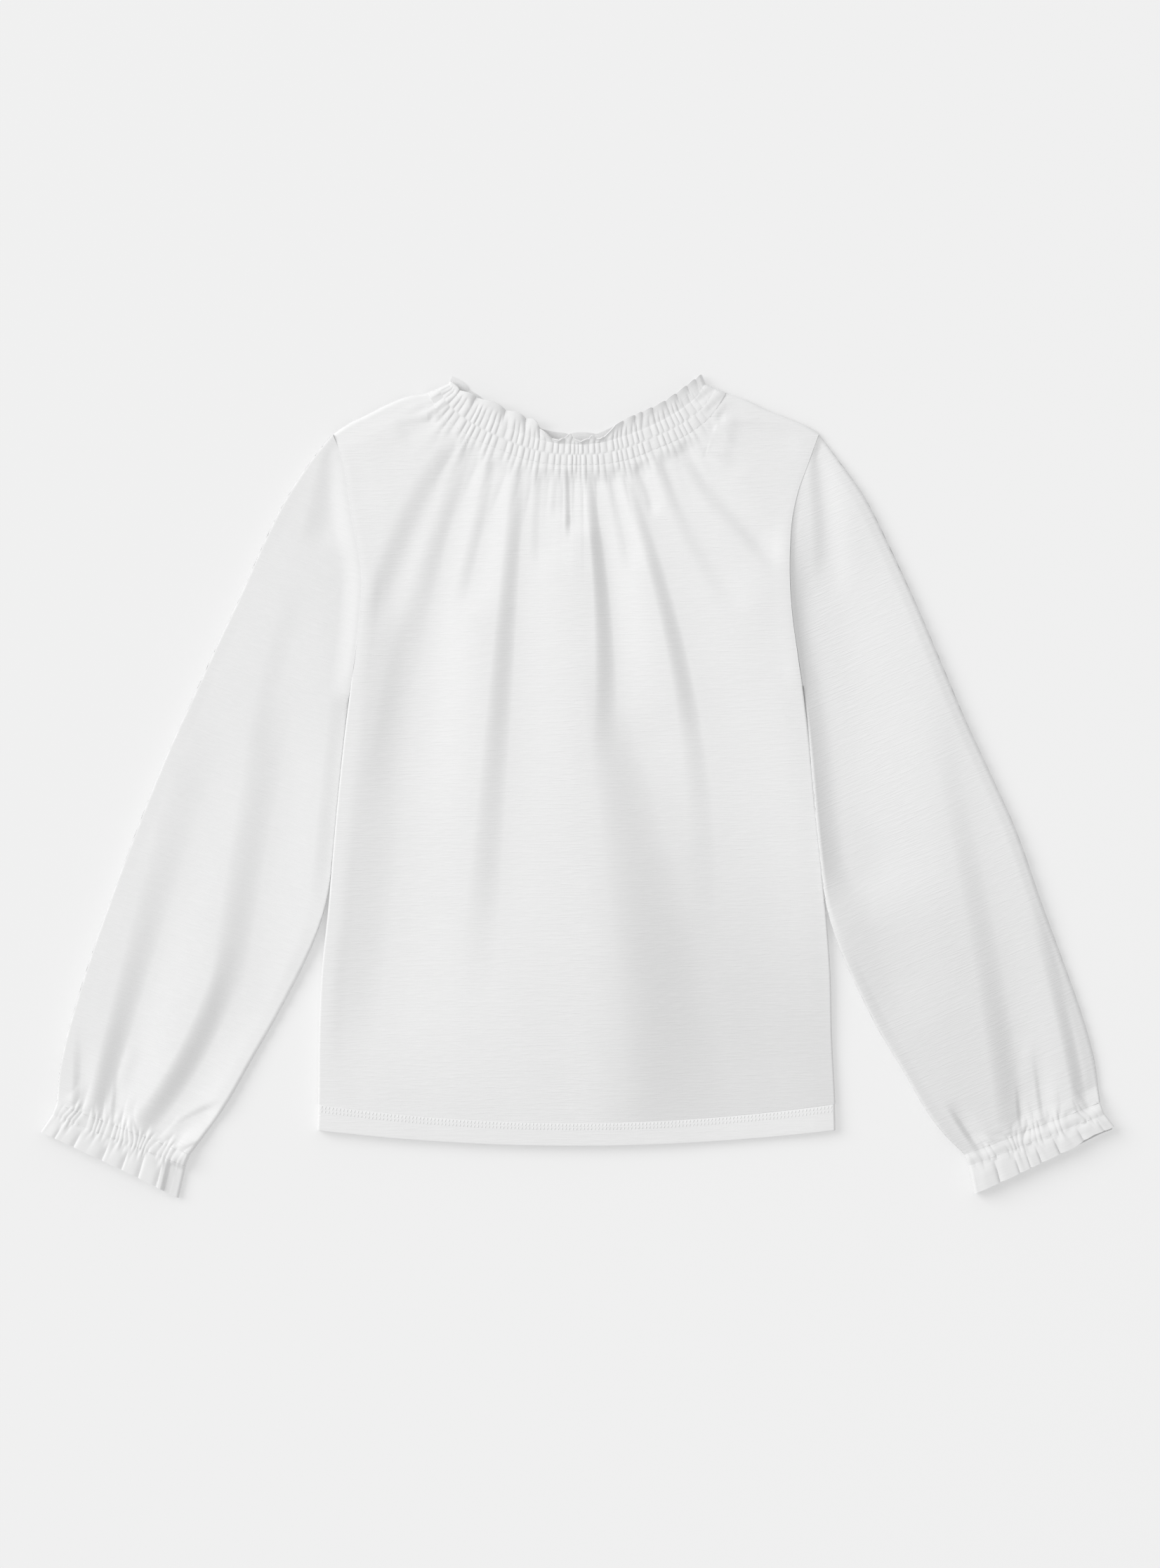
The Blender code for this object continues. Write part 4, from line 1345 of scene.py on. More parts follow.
# ---------------------------------------------------------------- sewing
@dataclass(frozen=True)
class Stitches:
    """A row of short sewn stitches, each a small rounded bar of thread lying on the cloth."""

    name: str
    length: float = 1.5
    radius: float = 0.2
    sides: int = 6

    def build(self, centres: Array, ways: Array, finish: bpy.types.Material,
              origin: Array) -> bpy.types.Object:
        """Makes the row.

        Args:
            centres: The stitches' middles on the plan.
            ways: Unit vectors along them.
            finish: The thread.
            origin: The plan's origin in the row frame.

        Returns:
            The new object, riding on the body.
        """
        along = np.array([-0.5, -0.42, -0.2, 0.2, 0.42, 0.5]) * self.length
        girth = np.array([0.05, 0.7, 1.0, 1.0, 0.7, 0.05]) * self.radius
        turn = np.linspace(0.0, 2.0 * np.pi, self.sides, endpoint=False)
        side = np.cross(ways, np.array([0.0, 0.0, 1.0]))
        side = side / np.linalg.norm(side, axis=1, keepdims=True)
        up = np.cross(side, ways)
        ring = (np.cos(turn)[:, None] * side[:, None, None, :]
                + np.sin(turn)[:, None] * up[:, None, None, :])
        spots = (centres[:, None, None, :] + along[:, None, None] * ways[:, None, None, :]
                 + girth[:, None, None] * ring)
        rings = len(along)
        i = np.arange(rings - 1)[:, None]
        k = np.arange(self.sides)[None, :]
        after = (k + 1) % self.sides
        quad = np.stack([i * self.sides + k, i * self.sides + after,
                         (i + 1) * self.sides + after, (i + 1) * self.sides + k], axis=-1)
        start = np.arange(len(centres))[:, None, None] * rings * self.sides
        quads = (quad.reshape(-1, 4)[None] + start).reshape(-1, 4)
        first = np.arange(self.sides)[None, ::-1] + start[:, 0]
        last = np.arange(self.sides)[None, :] + (rings - 1) * self.sides + start[:, 0]
        faces = quads.tolist() + first.tolist() + last.tolist()
        mesh = bpy.data.meshes.new(self.name)
        mesh.from_pydata(((spots.reshape(-1, 3) + origin) * MM).tolist(), [], faces)
        mesh.polygons.foreach_set("use_smooth", np.ones(len(faces), bool))
        corners = np.zeros(len(mesh.loops), np.int32)
        mesh.loops.foreach_get("vertex_index", corners)
        part = corners % (rings * self.sides)
        places = np.stack([(part % self.sides) / self.sides, along[part // self.sides]], axis=1)
        lay_chart(mesh, places)
        mesh.materials.append(finish)
        made = put(self.name, mesh)
        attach(made, "root")
        log.info("%s: %d stitches", self.name, len(centres))
        return made


# ---------------------------------------------------------------- body
@dataclass(frozen=True)
class FrontPanel:
    """The front: gathered under the shirring, with long folds that run to the hem."""

    floor: float = 2.1
    rim: float = 1.1
    rim_beside: float = 7.6
    neck_height: float = 5.2
    lip_left: float = 0.97
    lip_right: float = 0.95
    lip_low: float = 0.80
    lip_follow: float = 0.94
    edge_radius: float = 0.7
    side_reach: float = 16.0
    side_from: float = -88.0
    side_over: float = 36.0
    shoulder_lip: float = 4.2
    shoulder_radius: float = 2.0
    shoulder_reach: float = 14.0
    armhole_reach: float = 12.0
    neck_reach: float = 13.0
    seam_dip: float = 0.16
    ripple_height: float = 0.16
    small_tucks: float = 1.1
    row_crowding: float = 1.55
    neck_columns: int = 381
    side_columns: int = 34
    rows: int = 108
    cut: Cut = Cut(0.352, 0.448, 0.136, "gathered", ("back",))

    def gathers(self, pattern: Pattern, a: Array, below: Array) -> Array:
        """Rise of the gathers under the last row: small ones that run together into larger.

        Args:
            pattern: The pattern.
            a: Shares of the neck.
            below: Distances below the last row.

        Returns:
            The rise at each place.
        """
        count = pattern.tuck_count(a)
        length = 12.0 + 7.0 * np.sin(np.floor(count) * 1.7 + 0.5)
        opened = 0.68 + 0.32 * ease(below / 4.0)
        small = tuck_shape(count) * opened * (1.0 - ease((below - 1.0) / length))
        wide = sum(wider.rise(count, below) for wider in NECK_GATHERS)
        inside = ease((1.0 - np.abs(a)) / 0.04)
        return pattern.tuck_rise(a) * (self.small_tucks * small + wide) * inside

    def height(self, pattern: Pattern, place: Array, q: Array, off_side: Array,
               below: Array) -> Array:
        """Height of the middle of the cloth: folds and gathers, rounded down at the edges.

        Args:
            pattern: The pattern.
            place: Places on the plan.
            q: Shares across, from -1 at the left side to 1 at the right.
            off_side: Distances inside the side line.
            below: Distances below the upper line.

        Returns:
            The height at each place.
        """
        y = place.imag
        ridge = pattern.ridge_z(y)
        body = self.floor + (ridge - self.floor) * kept(place, FRONT_FOLDS)
        body = body + self.ripple_height * ripple(place)
        under_row = ease((pattern.neck_share + 0.02 - np.abs(q)) / 0.03)
        body = mix(body, mix(self.neck_height, body, ease(below / self.neck_reach)), under_row)
        full = body + self.gathers(pattern, *pattern.gather_place(place))
        full = full + pattern.fingers(place)
        seam = ridge - self.seam_dip * np.exp(-(off_side / SEAM_DIP_REACH) ** 2)
        opened = mix(seam, full, ease(off_side / self.armhole_reach))
        closed = self.side_edge(full, ridge, off_side, q, y)
        z = mix(opened, closed, pattern.side_closed(y))
        fold = distance_to(place, pattern.shoulder_folds())
        return folded_edge(z, fold, self.rim, self.shoulder_lip, self.shoulder_radius,
                           self.shoulder_reach)

    def side_edge(self, full: Array, ridge: Array, off_side: Array, q: Array,
                  y: Array) -> Array:
        """Height in from the side seam, whose lip is a share of the ridges' height.

        Args:
            full: Height of the cloth well inside.
            ridge: Height of the ridges.
            off_side: Distances inside the side line.
            q: Shares across, from -1 at the left side to 1 at the right.
            y: Heights on the plan.

        Returns:
            The height at each place.
        """
        beside = ease((y - self.side_from) / self.side_over)
        right = mix(self.lip_low, self.lip_right, beside)
        lip = np.where(q < 0, ridge * self.lip_left,
                       np.minimum(ridge * right, full * self.lip_follow))
        rim = mix(self.rim, np.minimum(self.rim_beside, lip - 0.7), beside)
        return folded_edge(full, off_side, rim, lip, self.edge_radius, self.side_reach)

    def across(self, pattern: Pattern) -> Array:
        """Shares across the panel, close under the shirring and round the sides.

        Args:
            pattern: The pattern.

        Returns:
            The shares, from -1 to 1.
        """
        neck = np.linspace(-pattern.neck_share, pattern.neck_share, self.neck_columns)
        out = np.sin(np.linspace(0.0, np.pi / 2, self.side_columns + 1)[1:])
        out = mix(pattern.neck_share, 1.0, out)
        return np.concatenate([-out[::-1], neck, out])

    def build(self, wear: Wardrobe) -> bpy.types.Object:
        """Makes the panel.

        Args:
            wear: The pattern, its origin and the finishes.

        Returns:
            The new object.
        """
        pattern = wear.pattern
        q = self.across(pattern)
        f = np.linspace(0.0, 1.0, self.rows) ** self.row_crowding
        place, off_side, below = pattern.body_plan(q, f)
        z = self.height(pattern, place, q[:, None], off_side, below)
        return Cloth(grid(place, z), grid(place)).build("front_panel", wear.front, wear.origin)


@dataclass(frozen=True)
class BackPanel:
    """The back: flat where it rests, lifting by less than a millimetre in its own folds."""

    level: float = UNDER_CLOTH
    lift: float = 0.7
    row_crowding: float = 1.4
    columns: int = 181
    rows: int = 90
    cut: Cut = Cut(0.352, 0.448, 0.136, "laid", ())

    def build(self, wear: Wardrobe) -> bpy.types.Object:
        """Makes the panel.

        Args:
            wear: The pattern, its origin and the finishes.

        Returns:
            The new object.
        """
        pattern = wear.pattern
        q = np.linspace(-1.0, 1.0, self.columns)
        f = np.linspace(0.0, 1.0, self.rows) ** self.row_crowding
        place, off_side, below = pattern.body_plan(q, f)
        raised = 1.0 - kept(place, BACK_FOLDS)
        count = pattern.tuck_count(q / pattern.neck_share)[:, None]
        small = tuck_shape(count / 2.0) * (1.0 - ease(below / 30.0)) * 0.5
        edge = ease(off_side / 12.0) * ease(below / 6.0)
        z = self.level + self.lift * (raised + small) * edge
        return Cloth(grid(place, z), grid(place)).build("back_panel", wear.body, wear.origin)


@dataclass(frozen=True)
class Hem:
    """A turned-up hem, two cloths thick, with a rounded lower edge and closed ends."""

    name: str
    thickness: float = 1.5
    raised: float = 0.45
    ramp: float = 1.8
    across: int = 11
    columns: int = 361
    least_base: float = 0.74
    rest: float = 0.01
    stitch_pitch: float = 2.35
    stitch_rows: tuple = (1.4, 3.6)
    stitch_way: tuple = (0.27, 0.963, 0.0)

    def middle(self, wear: Wardrobe, front: FrontPanel | None, q: Array,
               f: Array) -> tuple[Array, Array]:
        """The middle of the hem's cloth, from its seam (f = 0) to its lower edge (f = 1).

        Args:
            wear: The pattern, its origin and the finishes.
            front: The panel whose folds it follows, or None on the back.
            q: Shares across, from -1 at the left side to 1 at the right.
            f: Shares down, from the seam to the lower edge.

        Returns:
            The places and the heights of the middle.
        """
        pattern = wear.pattern
        q = q[:, None]
        f = f[None, :]
        x = q * pattern.side_half(np.full_like(q, SIDE[0].y), q)
        top = pattern.hem_seam(x) - SEAM / 2
        y = mix(top, pattern.hem_edge(x), f)
        place = q * pattern.side_half(y, q) + 1j * y
        if front is None:
            return place, np.full_like(y, self.thickness / 2 + self.rest)
        off_side = np.broadcast_to((1.0 - np.abs(q)) * pattern.hem_half, y.shape)
        z = front.height(pattern, place, q, off_side, pattern.shoulder_y - y)
        sunk = (self.thickness - SHELL) / 2
        z = z + self.raised * ease((top - y) / self.ramp) - sunk
        return place, np.maximum(z, self.least_base + self.thickness / 2)

    def build(self, wear: Wardrobe, front: FrontPanel | None) -> bpy.types.Object:
        """Makes the hem; front is the panel whose folds it follows, or None on the back.

        Args:
            wear: The pattern, its origin and the finishes.
            front: The panel.

        Returns:
            The new object.
        """
        q = np.linspace(-1.0, 1.0, self.columns)
        half = self.thickness / 2
        face = np.linspace(0.0, 1.0, self.across) ** 1.5
        f = mix(0.0, 1.0 - half / self.edge_width(wear), face)
        place, z = self.middle(wear, front, q, f)
        turn = np.radians(np.linspace(90.0, -90.0, 9)[1:-1])
        bend = grid(place[:, -1:] - 1j * half * np.cos(turn), z[:, -1:] + half * np.sin(turn))
        loop = np.concatenate([grid(place, z + half), bend, grid(place, z - half)[:, ::-1]], axis=1)
        points = loop.transpose(1, 0, 2)
        cloth = Cloth(points, points[..., :2], closed=True, solid=True)
        return cloth.build(self.name, wear.hem, wear.origin, thickness=0.0)

    def edge_width(self, wear: Wardrobe) -> float:
        """Least distance from the hem's seam to its lower edge."""
        return wear.pattern.hem_seam_y - wear.pattern.hem_edge_y

    def stitches(self, wear: Wardrobe, front: FrontPanel) -> bpy.types.Object:
        """Makes the rows of stitches just below the seam.

        Args:
            wear: The pattern, its origin and the finishes.
            front: The panel whose folds it follows.

        Returns:
            The new object.
        """
        count = int(2.0 * wear.pattern.hem_half / self.stitch_pitch)
        q = np.linspace(-0.985, 0.985, count)
        f = np.array(self.stitch_rows) / self.edge_width(wear)
        place, z = self.middle(wear, front, q, f)
        centres = grid(place, z + self.thickness / 2 + 0.03)
        ways = np.broadcast_to(np.array(self.stitch_way), centres.shape)
        row = Stitches(self.name + "_stitches", length=1.9, radius=0.22)
        return row.build(centres.reshape(-1, 3), ways.reshape(-1, 3), wear.thread, wear.origin)


# ---------------------------------------------------------------- neck
@dataclass(frozen=True)
class NeckShirring:
    """The shirred band: three rows of elastic with small tucks that puff between them."""

    height: float = 5.2
    rim: float = 1.15
    puff: float = 0.3
    pinch: float = 0.75
    middle_pinch: float = 0.3
    stitch_step: float = 0.004
    columns: int = 561
    rows: int = 25
    back_columns: int = 301
    back_rows: int = 13
    front_cut: Cut = Cut(0.29, 0.0134, 0.0038, "gathered", ("neck_shirring_back",))
    back_cut: Cut = Cut(0.29, 0.0134, 0.0038, "gathered", ())

    def plan(self, pattern: Pattern, a: Array, b: Array) -> Array:
        """Plan of the band at shares a of the neck and b from the first row to the last."""
        top, low = pattern.neck_row(a, "top"), pattern.neck_row(a, "low")
        return mix(top, low, b * (1.0 - SEAM / np.abs(low - top)))

    def front_height(self, pattern: Pattern, a: Array, b: Array, place: Array) -> Array:
        """Height of the front band: tucks and the puff between rows, pinched at each row.

        Args:
            pattern: The pattern.
            a: Shares of the neck, from -1 at the left to 1 at the right.
            b: Shares down, from the first row to the last.
            place: Places on the plan.

        Returns:
            The height at each place.
        """
        between = 2.0 * b - np.floor(np.minimum(2.0 * b, 1.999))
        belly = np.sqrt(np.clip(4.0 * between * (1.0 - between), 0.0, 1.0))
        shift = np.where(b < 0.5, 0.5, 0.0)
        rise = pattern.tuck_rise(a)
        row = np.where(np.abs(b - 0.5) < 0.25, self.middle_pinch, self.pinch)
        share = mix(row, 1.1, belly)
        tucks = tuck_shape(pattern.tuck_count(a) + shift) * share + 0.5 * (self.pinch - share)
        full = self.height + self.puff * belly + tucks * rise + pattern.fingers(place)
        return mix(self.rim, full, pattern.neck_rise(place))

    def front(self, wear: Wardrobe) -> bpy.types.Object:
        """Makes the front band.

        Args:
            wear: The pattern, its origin and the finishes.

        Returns:
            The new object.
        """
        a, b = shares(self.columns, self.rows)
        place = self.plan(wear.pattern, a, b)
        z = self.front_height(wear.pattern, a, b, place)
        chart = grid(a * NECK_CHART - 7.0j * b)
        return Cloth(grid(place, z), chart).build("neck_shirring", wear.shirred, wear.origin)

    def back(self, wear: Wardrobe) -> bpy.types.Object:
        """Makes the back band, flat under the front one but for the least of tucks.

        Args:
            wear: The pattern, its origin and the finishes.

        Returns:
            The new object.
        """
        a, b = shares(self.back_columns, self.back_rows)
        place = self.plan(wear.pattern, a, b)
        belly = np.sin(2.0 * np.pi * b) ** 2
        tucks = tuck_shape(wear.pattern.tuck_count(a)) * 0.35 * mix(0.2, 1.0, belly)
        z = UNDER_CLOTH + tucks * wear.pattern.neck_rise(place)
        chart = grid(a * NECK_CHART - 7.0j * b)
        return Cloth(grid(place, z), chart).build("neck_shirring_rear", wear.shirred, wear.origin)

    def stitches(self, wear: Wardrobe) -> bpy.types.Object:
        """Makes the elastic rows' stitches: one over each tuck, on each of the three rows.

        Args:
            wear: The pattern, its origin and the finishes.

        Returns:
            The new object.
        """
        pattern = wear.pattern
        dense = np.linspace(-1.0, 1.0, 6001)
        count = pattern.tuck_count(dense)
        mids = np.arange(np.ceil(count[0]), np.floor(count[-1])) + 0.5
        a = np.interp(mids, count, dense)[1:-1, None]
        b = np.array([0.015, 0.5, 0.985])[None, :]
        place = self.plan(pattern, a, b)
        z = self.front_height(pattern, a, b, place) + STITCH_LIFT
        ways = grid(place - self.plan(pattern, a - self.stitch_step, b), 0.0)
        ways = ways / np.linalg.norm(ways, axis=2, keepdims=True)
        row = Stitches("neck_shirring_stitches", length=1.6, radius=0.17)
        centres = grid(place, z).reshape(-1, 3)
        return row.build(centres, ways.reshape(-1, 3), wear.thread, wear.origin)


@dataclass(frozen=True)
class NeckRuffle:
    """The ruffle above the first elastic row, in uneven lobes that open to its edge."""

    height: float = 5.2
    rim: float = 1.15
    climb: float = 2.2
    scallop: float = 0.9
    columns: int = 561
    rows: int = 17
    back_columns: int = 361
    back_rows: int = 13
    front_cut: Cut = Cut(0.29, 0.0100, 0.0022, "gathered", ("neck_ruffle_back",))
    back_cut: Cut = Cut(0.29, 0.0100, 0.0021, "gathered", ())

    def plan(self, pattern: Pattern, a: Array, t: Array, hump: Array, reach: Array,
             lean: Array) -> Array:
        """Plan of the ruffle: t runs from the row to the edge, which is scalloped and leans.

        Args:
            pattern: The pattern.
            a: Shares of the neck, from -1 at the left to 1 at the right.
            t: Shares up, from the row to the edge.
            hump: The lobes' shape, 0 in a crease and 1 on top.
            reach: Shares of the full length that the lobes reach.
            lean: How far the lobes slide sideways.

        Returns:
            The ruffle's places.
        """
        top, edge = pattern.neck_row(a, "top"), pattern.neck_row(a, "edge")
        length = np.abs(edge - top)
        end = reach - self.scallop * (1.0 - hump) / length
        slide = lean * t * t * hump
        return mix(top, edge, mix(SEAM / length, end, t)) - 1j * (edge - top) / length * slide

    def front(self, wear: Wardrobe) -> bpy.types.Object:
        """Makes the front ruffle.

        Args:
            wear: The pattern, its origin and the finishes.

        Returns:
            The new object.
        """
        pattern = wear.pattern
        a, t = shares(self.columns, self.rows)
        hump, rise, reach, lean = lobe_field(a, FRONT_RUFFLE, 2.3)
        place = self.plan(pattern, a, t, hump, reach, lean)
        tucks = tuck_shape(pattern.tuck_count(a) + 0.5) * pattern.tuck_rise(a)
        small = tucks * (0.75 + 0.25 * ease(t / 0.25)) * (1.0 - ease((t - 0.2) / 0.6))
        open_lobe = rise * (hump - 0.35) * t ** 1.2
        full = self.height + self.climb * t ** 1.6 + small + open_lobe + pattern.fingers(place)
        z = mix(self.rim + 0.3 * t, full, pattern.neck_rise(place))
        chart = grid(a * NECK_CHART + 14.0j * t)
        return Cloth(grid(place, z), chart).build("neck_ruffle", wear.shirred, wear.origin)

    def back(self, wear: Wardrobe) -> bpy.types.Object:
        """Makes the back ruffle, low under the front one.

        Args:
            wear: The pattern, its origin and the finishes.

        Returns:
            The new object.
        """
        pattern = wear.pattern
        a, t = shares(self.back_columns, self.back_rows)
        hump, rise, reach, lean = lobe_field(a, BACK_RUFFLE, 2.6)
        place = self.plan(pattern, a, t, hump, reach, lean)
        z = UNDER_CLOTH + rise * hump * 0.5 * t * pattern.neck_rise(place)
        chart = grid(a * NECK_CHART + 14.0j * t)
        return Cloth(grid(place, z), chart).build("neck_ruffle_rear", wear.shirred, wear.origin)


# ---------------------------------------------------------------- sleeves
@dataclass(frozen=True)
class SleevePlan:
    """A sleeve's folds on the plan, and the wrist pieces that go on from its end.

    calm is how much lower the puckers lie on the middle of the elastic casing, which ends at
    row_at, and through is how much of the sleeve's folds runs on through the wrist.
    """

    pattern: Pattern
    side: Side
    wrist_tucks: int
    calm: float
    sleeve_clear: float = 0.3
    row_at: float = 7.7
    through: float = 0.5
    tuck_height: float = 0.9
    tuck_middle: float = 0.4

    def edges(self, at: Array) -> tuple[Array, Array, Array]:
        """Outer and inner fold at places along the table, with the cloth's height.

        Args:
            at: Places along the table of sections.

        Returns:
            The outer fold's places, the inner fold's, and the height.
        """
        knots = np.arange(len(SLEEVE), dtype=float)
        word = self.side.word
        outer_x, outer_y, inner_y, away, height = [
            smooth(knots, column(SLEEVE, name), at)
            for name in (word + "_x", word + "_y", "inner_y", "away_" + word, "height")]
        clear = self.sleeve_clear + np.maximum(away, 0.0)
        inner_x = self.pattern.side_x(inner_y, self.side) + clear
        hand = self.side.value
        return hand * outer_x + 1j * outer_y, hand * inner_x + 1j * inner_y, height

    def wrist(self, inner_reach: Array, outer_reach: Array,
              flare: Array | float = 0.0) -> tuple[Array, Array]:
        """Inner and outer ends of wrist sections, at distances down the arm from the sleeve.

        Args:
            inner_reach: The distances at the inner fold.
            outer_reach: The distances at the outer fold.
            flare: How much wider the sections are on each side.

        Returns:
            The inner ends' places and the outer ends'.
        """
        outer, inner = [edge[-1] for edge in self.edges(np.array([0.0, len(SLEEVE) - 1.0]))[:2]]
        along = (outer - inner) / abs(outer - inner)
        down = -1j * self.side.value * along
        wider = flare * along
        return inner + inner_reach * down - wider, outer + outer_reach * down + wider

    def puckers(self, share: Array, reach: Array) -> Array:
        """Rise of the wrist's puckers: fine over the casing, running together away from it.

        Args:
            share: Shares across, from the inner fold.
            reach: Distances down the arm from the sleeve's end.

        Returns:
            The rise about its middle.
        """
        away = np.maximum(np.maximum(-reach, reach - self.row_at), 0.0)
        count = self.wrist_tucks * share
        count = count + 0.4 * np.sin(11.0 * share + 1.0) + 0.3 * np.sin(37.0 * share)
        drift = 0.09 * np.sin(8.3 * share + 0.6) + 0.06 * np.sin(21.0 * share + 2.0)
        count = count + drift * np.clip(-reach, -6.0, 16.0)
        length = 5.0 + 3.5 * np.sin(np.floor(count) * 1.9)
        on_casing = np.clip(reach / self.row_at, 0.0, 1.0)
        inside = 4.0 * on_casing * (1.0 - on_casing)
        small = tuck_shape(count) * (1.0 - ease(away / length)) * (1.0 - self.calm * inside)
        rise = small + sum(wider.rise(count, away) for wider in WRIST_GATHERS)
        return self.tuck_height * (rise - self.tuck_middle)


@dataclass(frozen=True)
class Lip:
    """A folded edge.

    share is its lip's height as a share of the cloth's, reach the width of the soft slope in from
    it, and bend the radius of its round.
    """

    share: Array | float
    reach: Array | float
    bend: Array | float

    def towards(self, other: "Lip", u: Array) -> "Lip":
        """The lip a share u of the way from this one to another."""
        return Lip(mix(self.share, other.share, u), mix(self.reach, other.reach, u),
                   mix(self.bend, other.bend, u))


WRIST_INNER = Lip(0.9, 9, 1.6)
WRIST_OUTER = Lip(0.93, 9, 0.9)


@dataclass(frozen=True)
class EdgeShape:
    """A sleeve's folded edges, beside the body, below it and outside.

    drop is how far the sleeve lies below the body at the underarm, seam_reach the width of the
    slope in from the armhole seam, valley the depth of the wide trough beside the body, and
    follow and inner_follow how far the outer and the inner lip sink with the folds.
    """

    beside: Lip
    below: Lip
    outer: Lip
    drop: float
    seam_reach: float
    valley: float
    follow: float
    inner_follow: float


@dataclass(frozen=True)
class SleeveLook:
    """What sets one sleeve apart from the other.

    band holds its wrist band's heights down the arm, ruffle those of its ruffle's start and end,
    and reaches how far the ruffle goes at the inner and the outer fold.  flap is the share of
    the ruffle beside the inner fold that lies low.
    """

    edge: EdgeShape
    folds: tuple
    lobes: tuple
    tucks: int
    calm: float
    band: tuple
    ruffle: tuple
    reaches: tuple
    flap: float


LOOKS = {
    Side.LEFT: SleeveLook(
        EdgeShape(Lip(0.98, 10, 0.5), Lip(0.84, 10, 2), Lip(0.98, 8, 0.5), 0, 14, 0, 0, 0.9),
        LEFT_SLEEVE_FOLDS, LEFT_CUFF, 29, 0.35, (8.6, 8.8, 7.6), (7.6, 7.4), (29, 20.6), 0.1),
    Side.RIGHT: SleeveLook(
        EdgeShape(Lip(0.84, 2.5, 0.6), Lip(1.04, 8, 1.1), Lip(0.82, 8, 2.4), 0.7, 3, 7.2, 1, 0),
        RIGHT_SLEEVE_FOLDS, RIGHT_CUFF, 21, 0.5, (8.6, 9.2, 8.3), (8.3, 9), (25.6, 19.6), 0),
}


@dataclass(frozen=True)
class Tube:
    """Sections of a flattened tube of cloth: over the top from its inner fold and back under.

    inner_rim and outer_rim are the heights of the folds themselves, as shares of the way up to
    their lips.
    """

    inner: Array
    outer: Array
    inner_lip: Lip = WRIST_INNER
    outer_lip: Lip = WRIST_OUTER
    inner_rim: Array | float = 0.45
    outer_rim: float = 0.45
    over: int = 178
    under: int = 46
    under_radius: float = 1.5
    chart_shift: float = 37.0

    def length(self) -> Array:
        """Each section's width, from fold to fold."""
        return np.abs(self.outer - self.inner)

    def places(self, share: Array) -> Array:
        """Places on the plan at shares from the inner fold to the outer one."""
        return mix(self.inner, self.outer, share)

    def shares(self) -> tuple[Array, Array]:
        """Shares from the inner fold to the outer one round each section, and the top's mask.

        Returns:
            The shares and the mask, each with a column for a section.
        """
        length = self.length()
        quarter = (1.0 - np.cos(np.linspace(0.0, np.pi / 2, 6)))[:, None]
        low = quarter * self.inner_lip.bend / length
        high = 1.0 - quarter * self.outer_lip.bend / length
        spread = np.linspace(0.0, 1.0, self.over)[1:-1, None]
        top = np.concatenate([low, mix(low[-1], high[-1], spread), high[::-1]])
        spread = np.linspace(1.0, 0.0, self.under)[:, None]
        back = mix(self.under_radius / length, 1.0 - self.under_radius / length, spread)
        share = np.concatenate([top, back])
        is_top = (np.arange(len(share)) < len(top))[:, None]
        return share, np.broadcast_to(is_top, share.shape)

    def height(self, top_z: Array, to_inner: Array, to_outer: Array, lips: tuple,
               is_top: Array) -> Array:
        """Height round the tube: a rounded fold joins the under cloth to the top one.

        Args:
            top_z: Height of the top cloth well inside.
            to_inner: Distance inside the inner fold.
            to_outer: Distance inside the outer fold.
            lips: Heights just inside the inner and the outer fold.
            is_top: Where the top cloth is.

        Returns:
            The height of the middle of the cloth.
        """
        near = to_inner < to_outer
        distance = np.minimum(to_inner, to_outer)
        rim = mix(UNDER_CLOTH, np.where(near, *lips),
                  np.where(near, self.inner_rim, self.outer_rim))
        inner = lips[0] + (top_z - lips[0]) * ease(to_inner / self.inner_lip.reach)
        full = mix(lips[1], inner, ease(to_outer / self.outer_lip.reach))
        bend = np.where(near, self.inner_lip.bend, self.outer_lip.bend)
        over = rim + (full - rim) * quarter_round(distance, bend)
        return np.where(is_top, over,
                        mix(rim, UNDER_CLOTH, quarter_round(distance, self.under_radius)))

    def wrist_height(self, top_z: Array, base: Array, share: Array, is_top: Array) -> Array:
        """Height round a wrist's sections, whose lips are shares of the base's height.

        Args:
            top_z: Height of the top cloth well inside.
            base: Height of the cloth without its puckers.
            share: Shares across, from the inner fold to the outer one.
            is_top: Where the top cloth is.

        Returns:
            The height of the middle of the cloth.
        """
        lips = (self.inner_lip.share * base, self.outer_lip.share * base)
        to_inner = share * self.length()
        return self.height(top_z, to_inner, (1.0 - share) * self.length(), lips, is_top)

    def cloth(self, place: Array, z: Array, is_top: Array) -> Cloth:
        """The tube's cloth, on a chart that turns with the arm: across it, and down it.

        Args:
            place: Places on the plan.
            z: Heights.
            is_top: Where the top cloth is.

        Returns:
            The cloth.
        """
        first, last = place[:, 0].mean(), place[:, -1].mean()
        turned = (place - first) * np.conj(last - first) / abs(last - first)
        down = turned.real + np.where(is_top, 0.0, self.chart_shift)
        return Cloth(grid(place, z), grid(1j * down - turned.imag), closed=True)


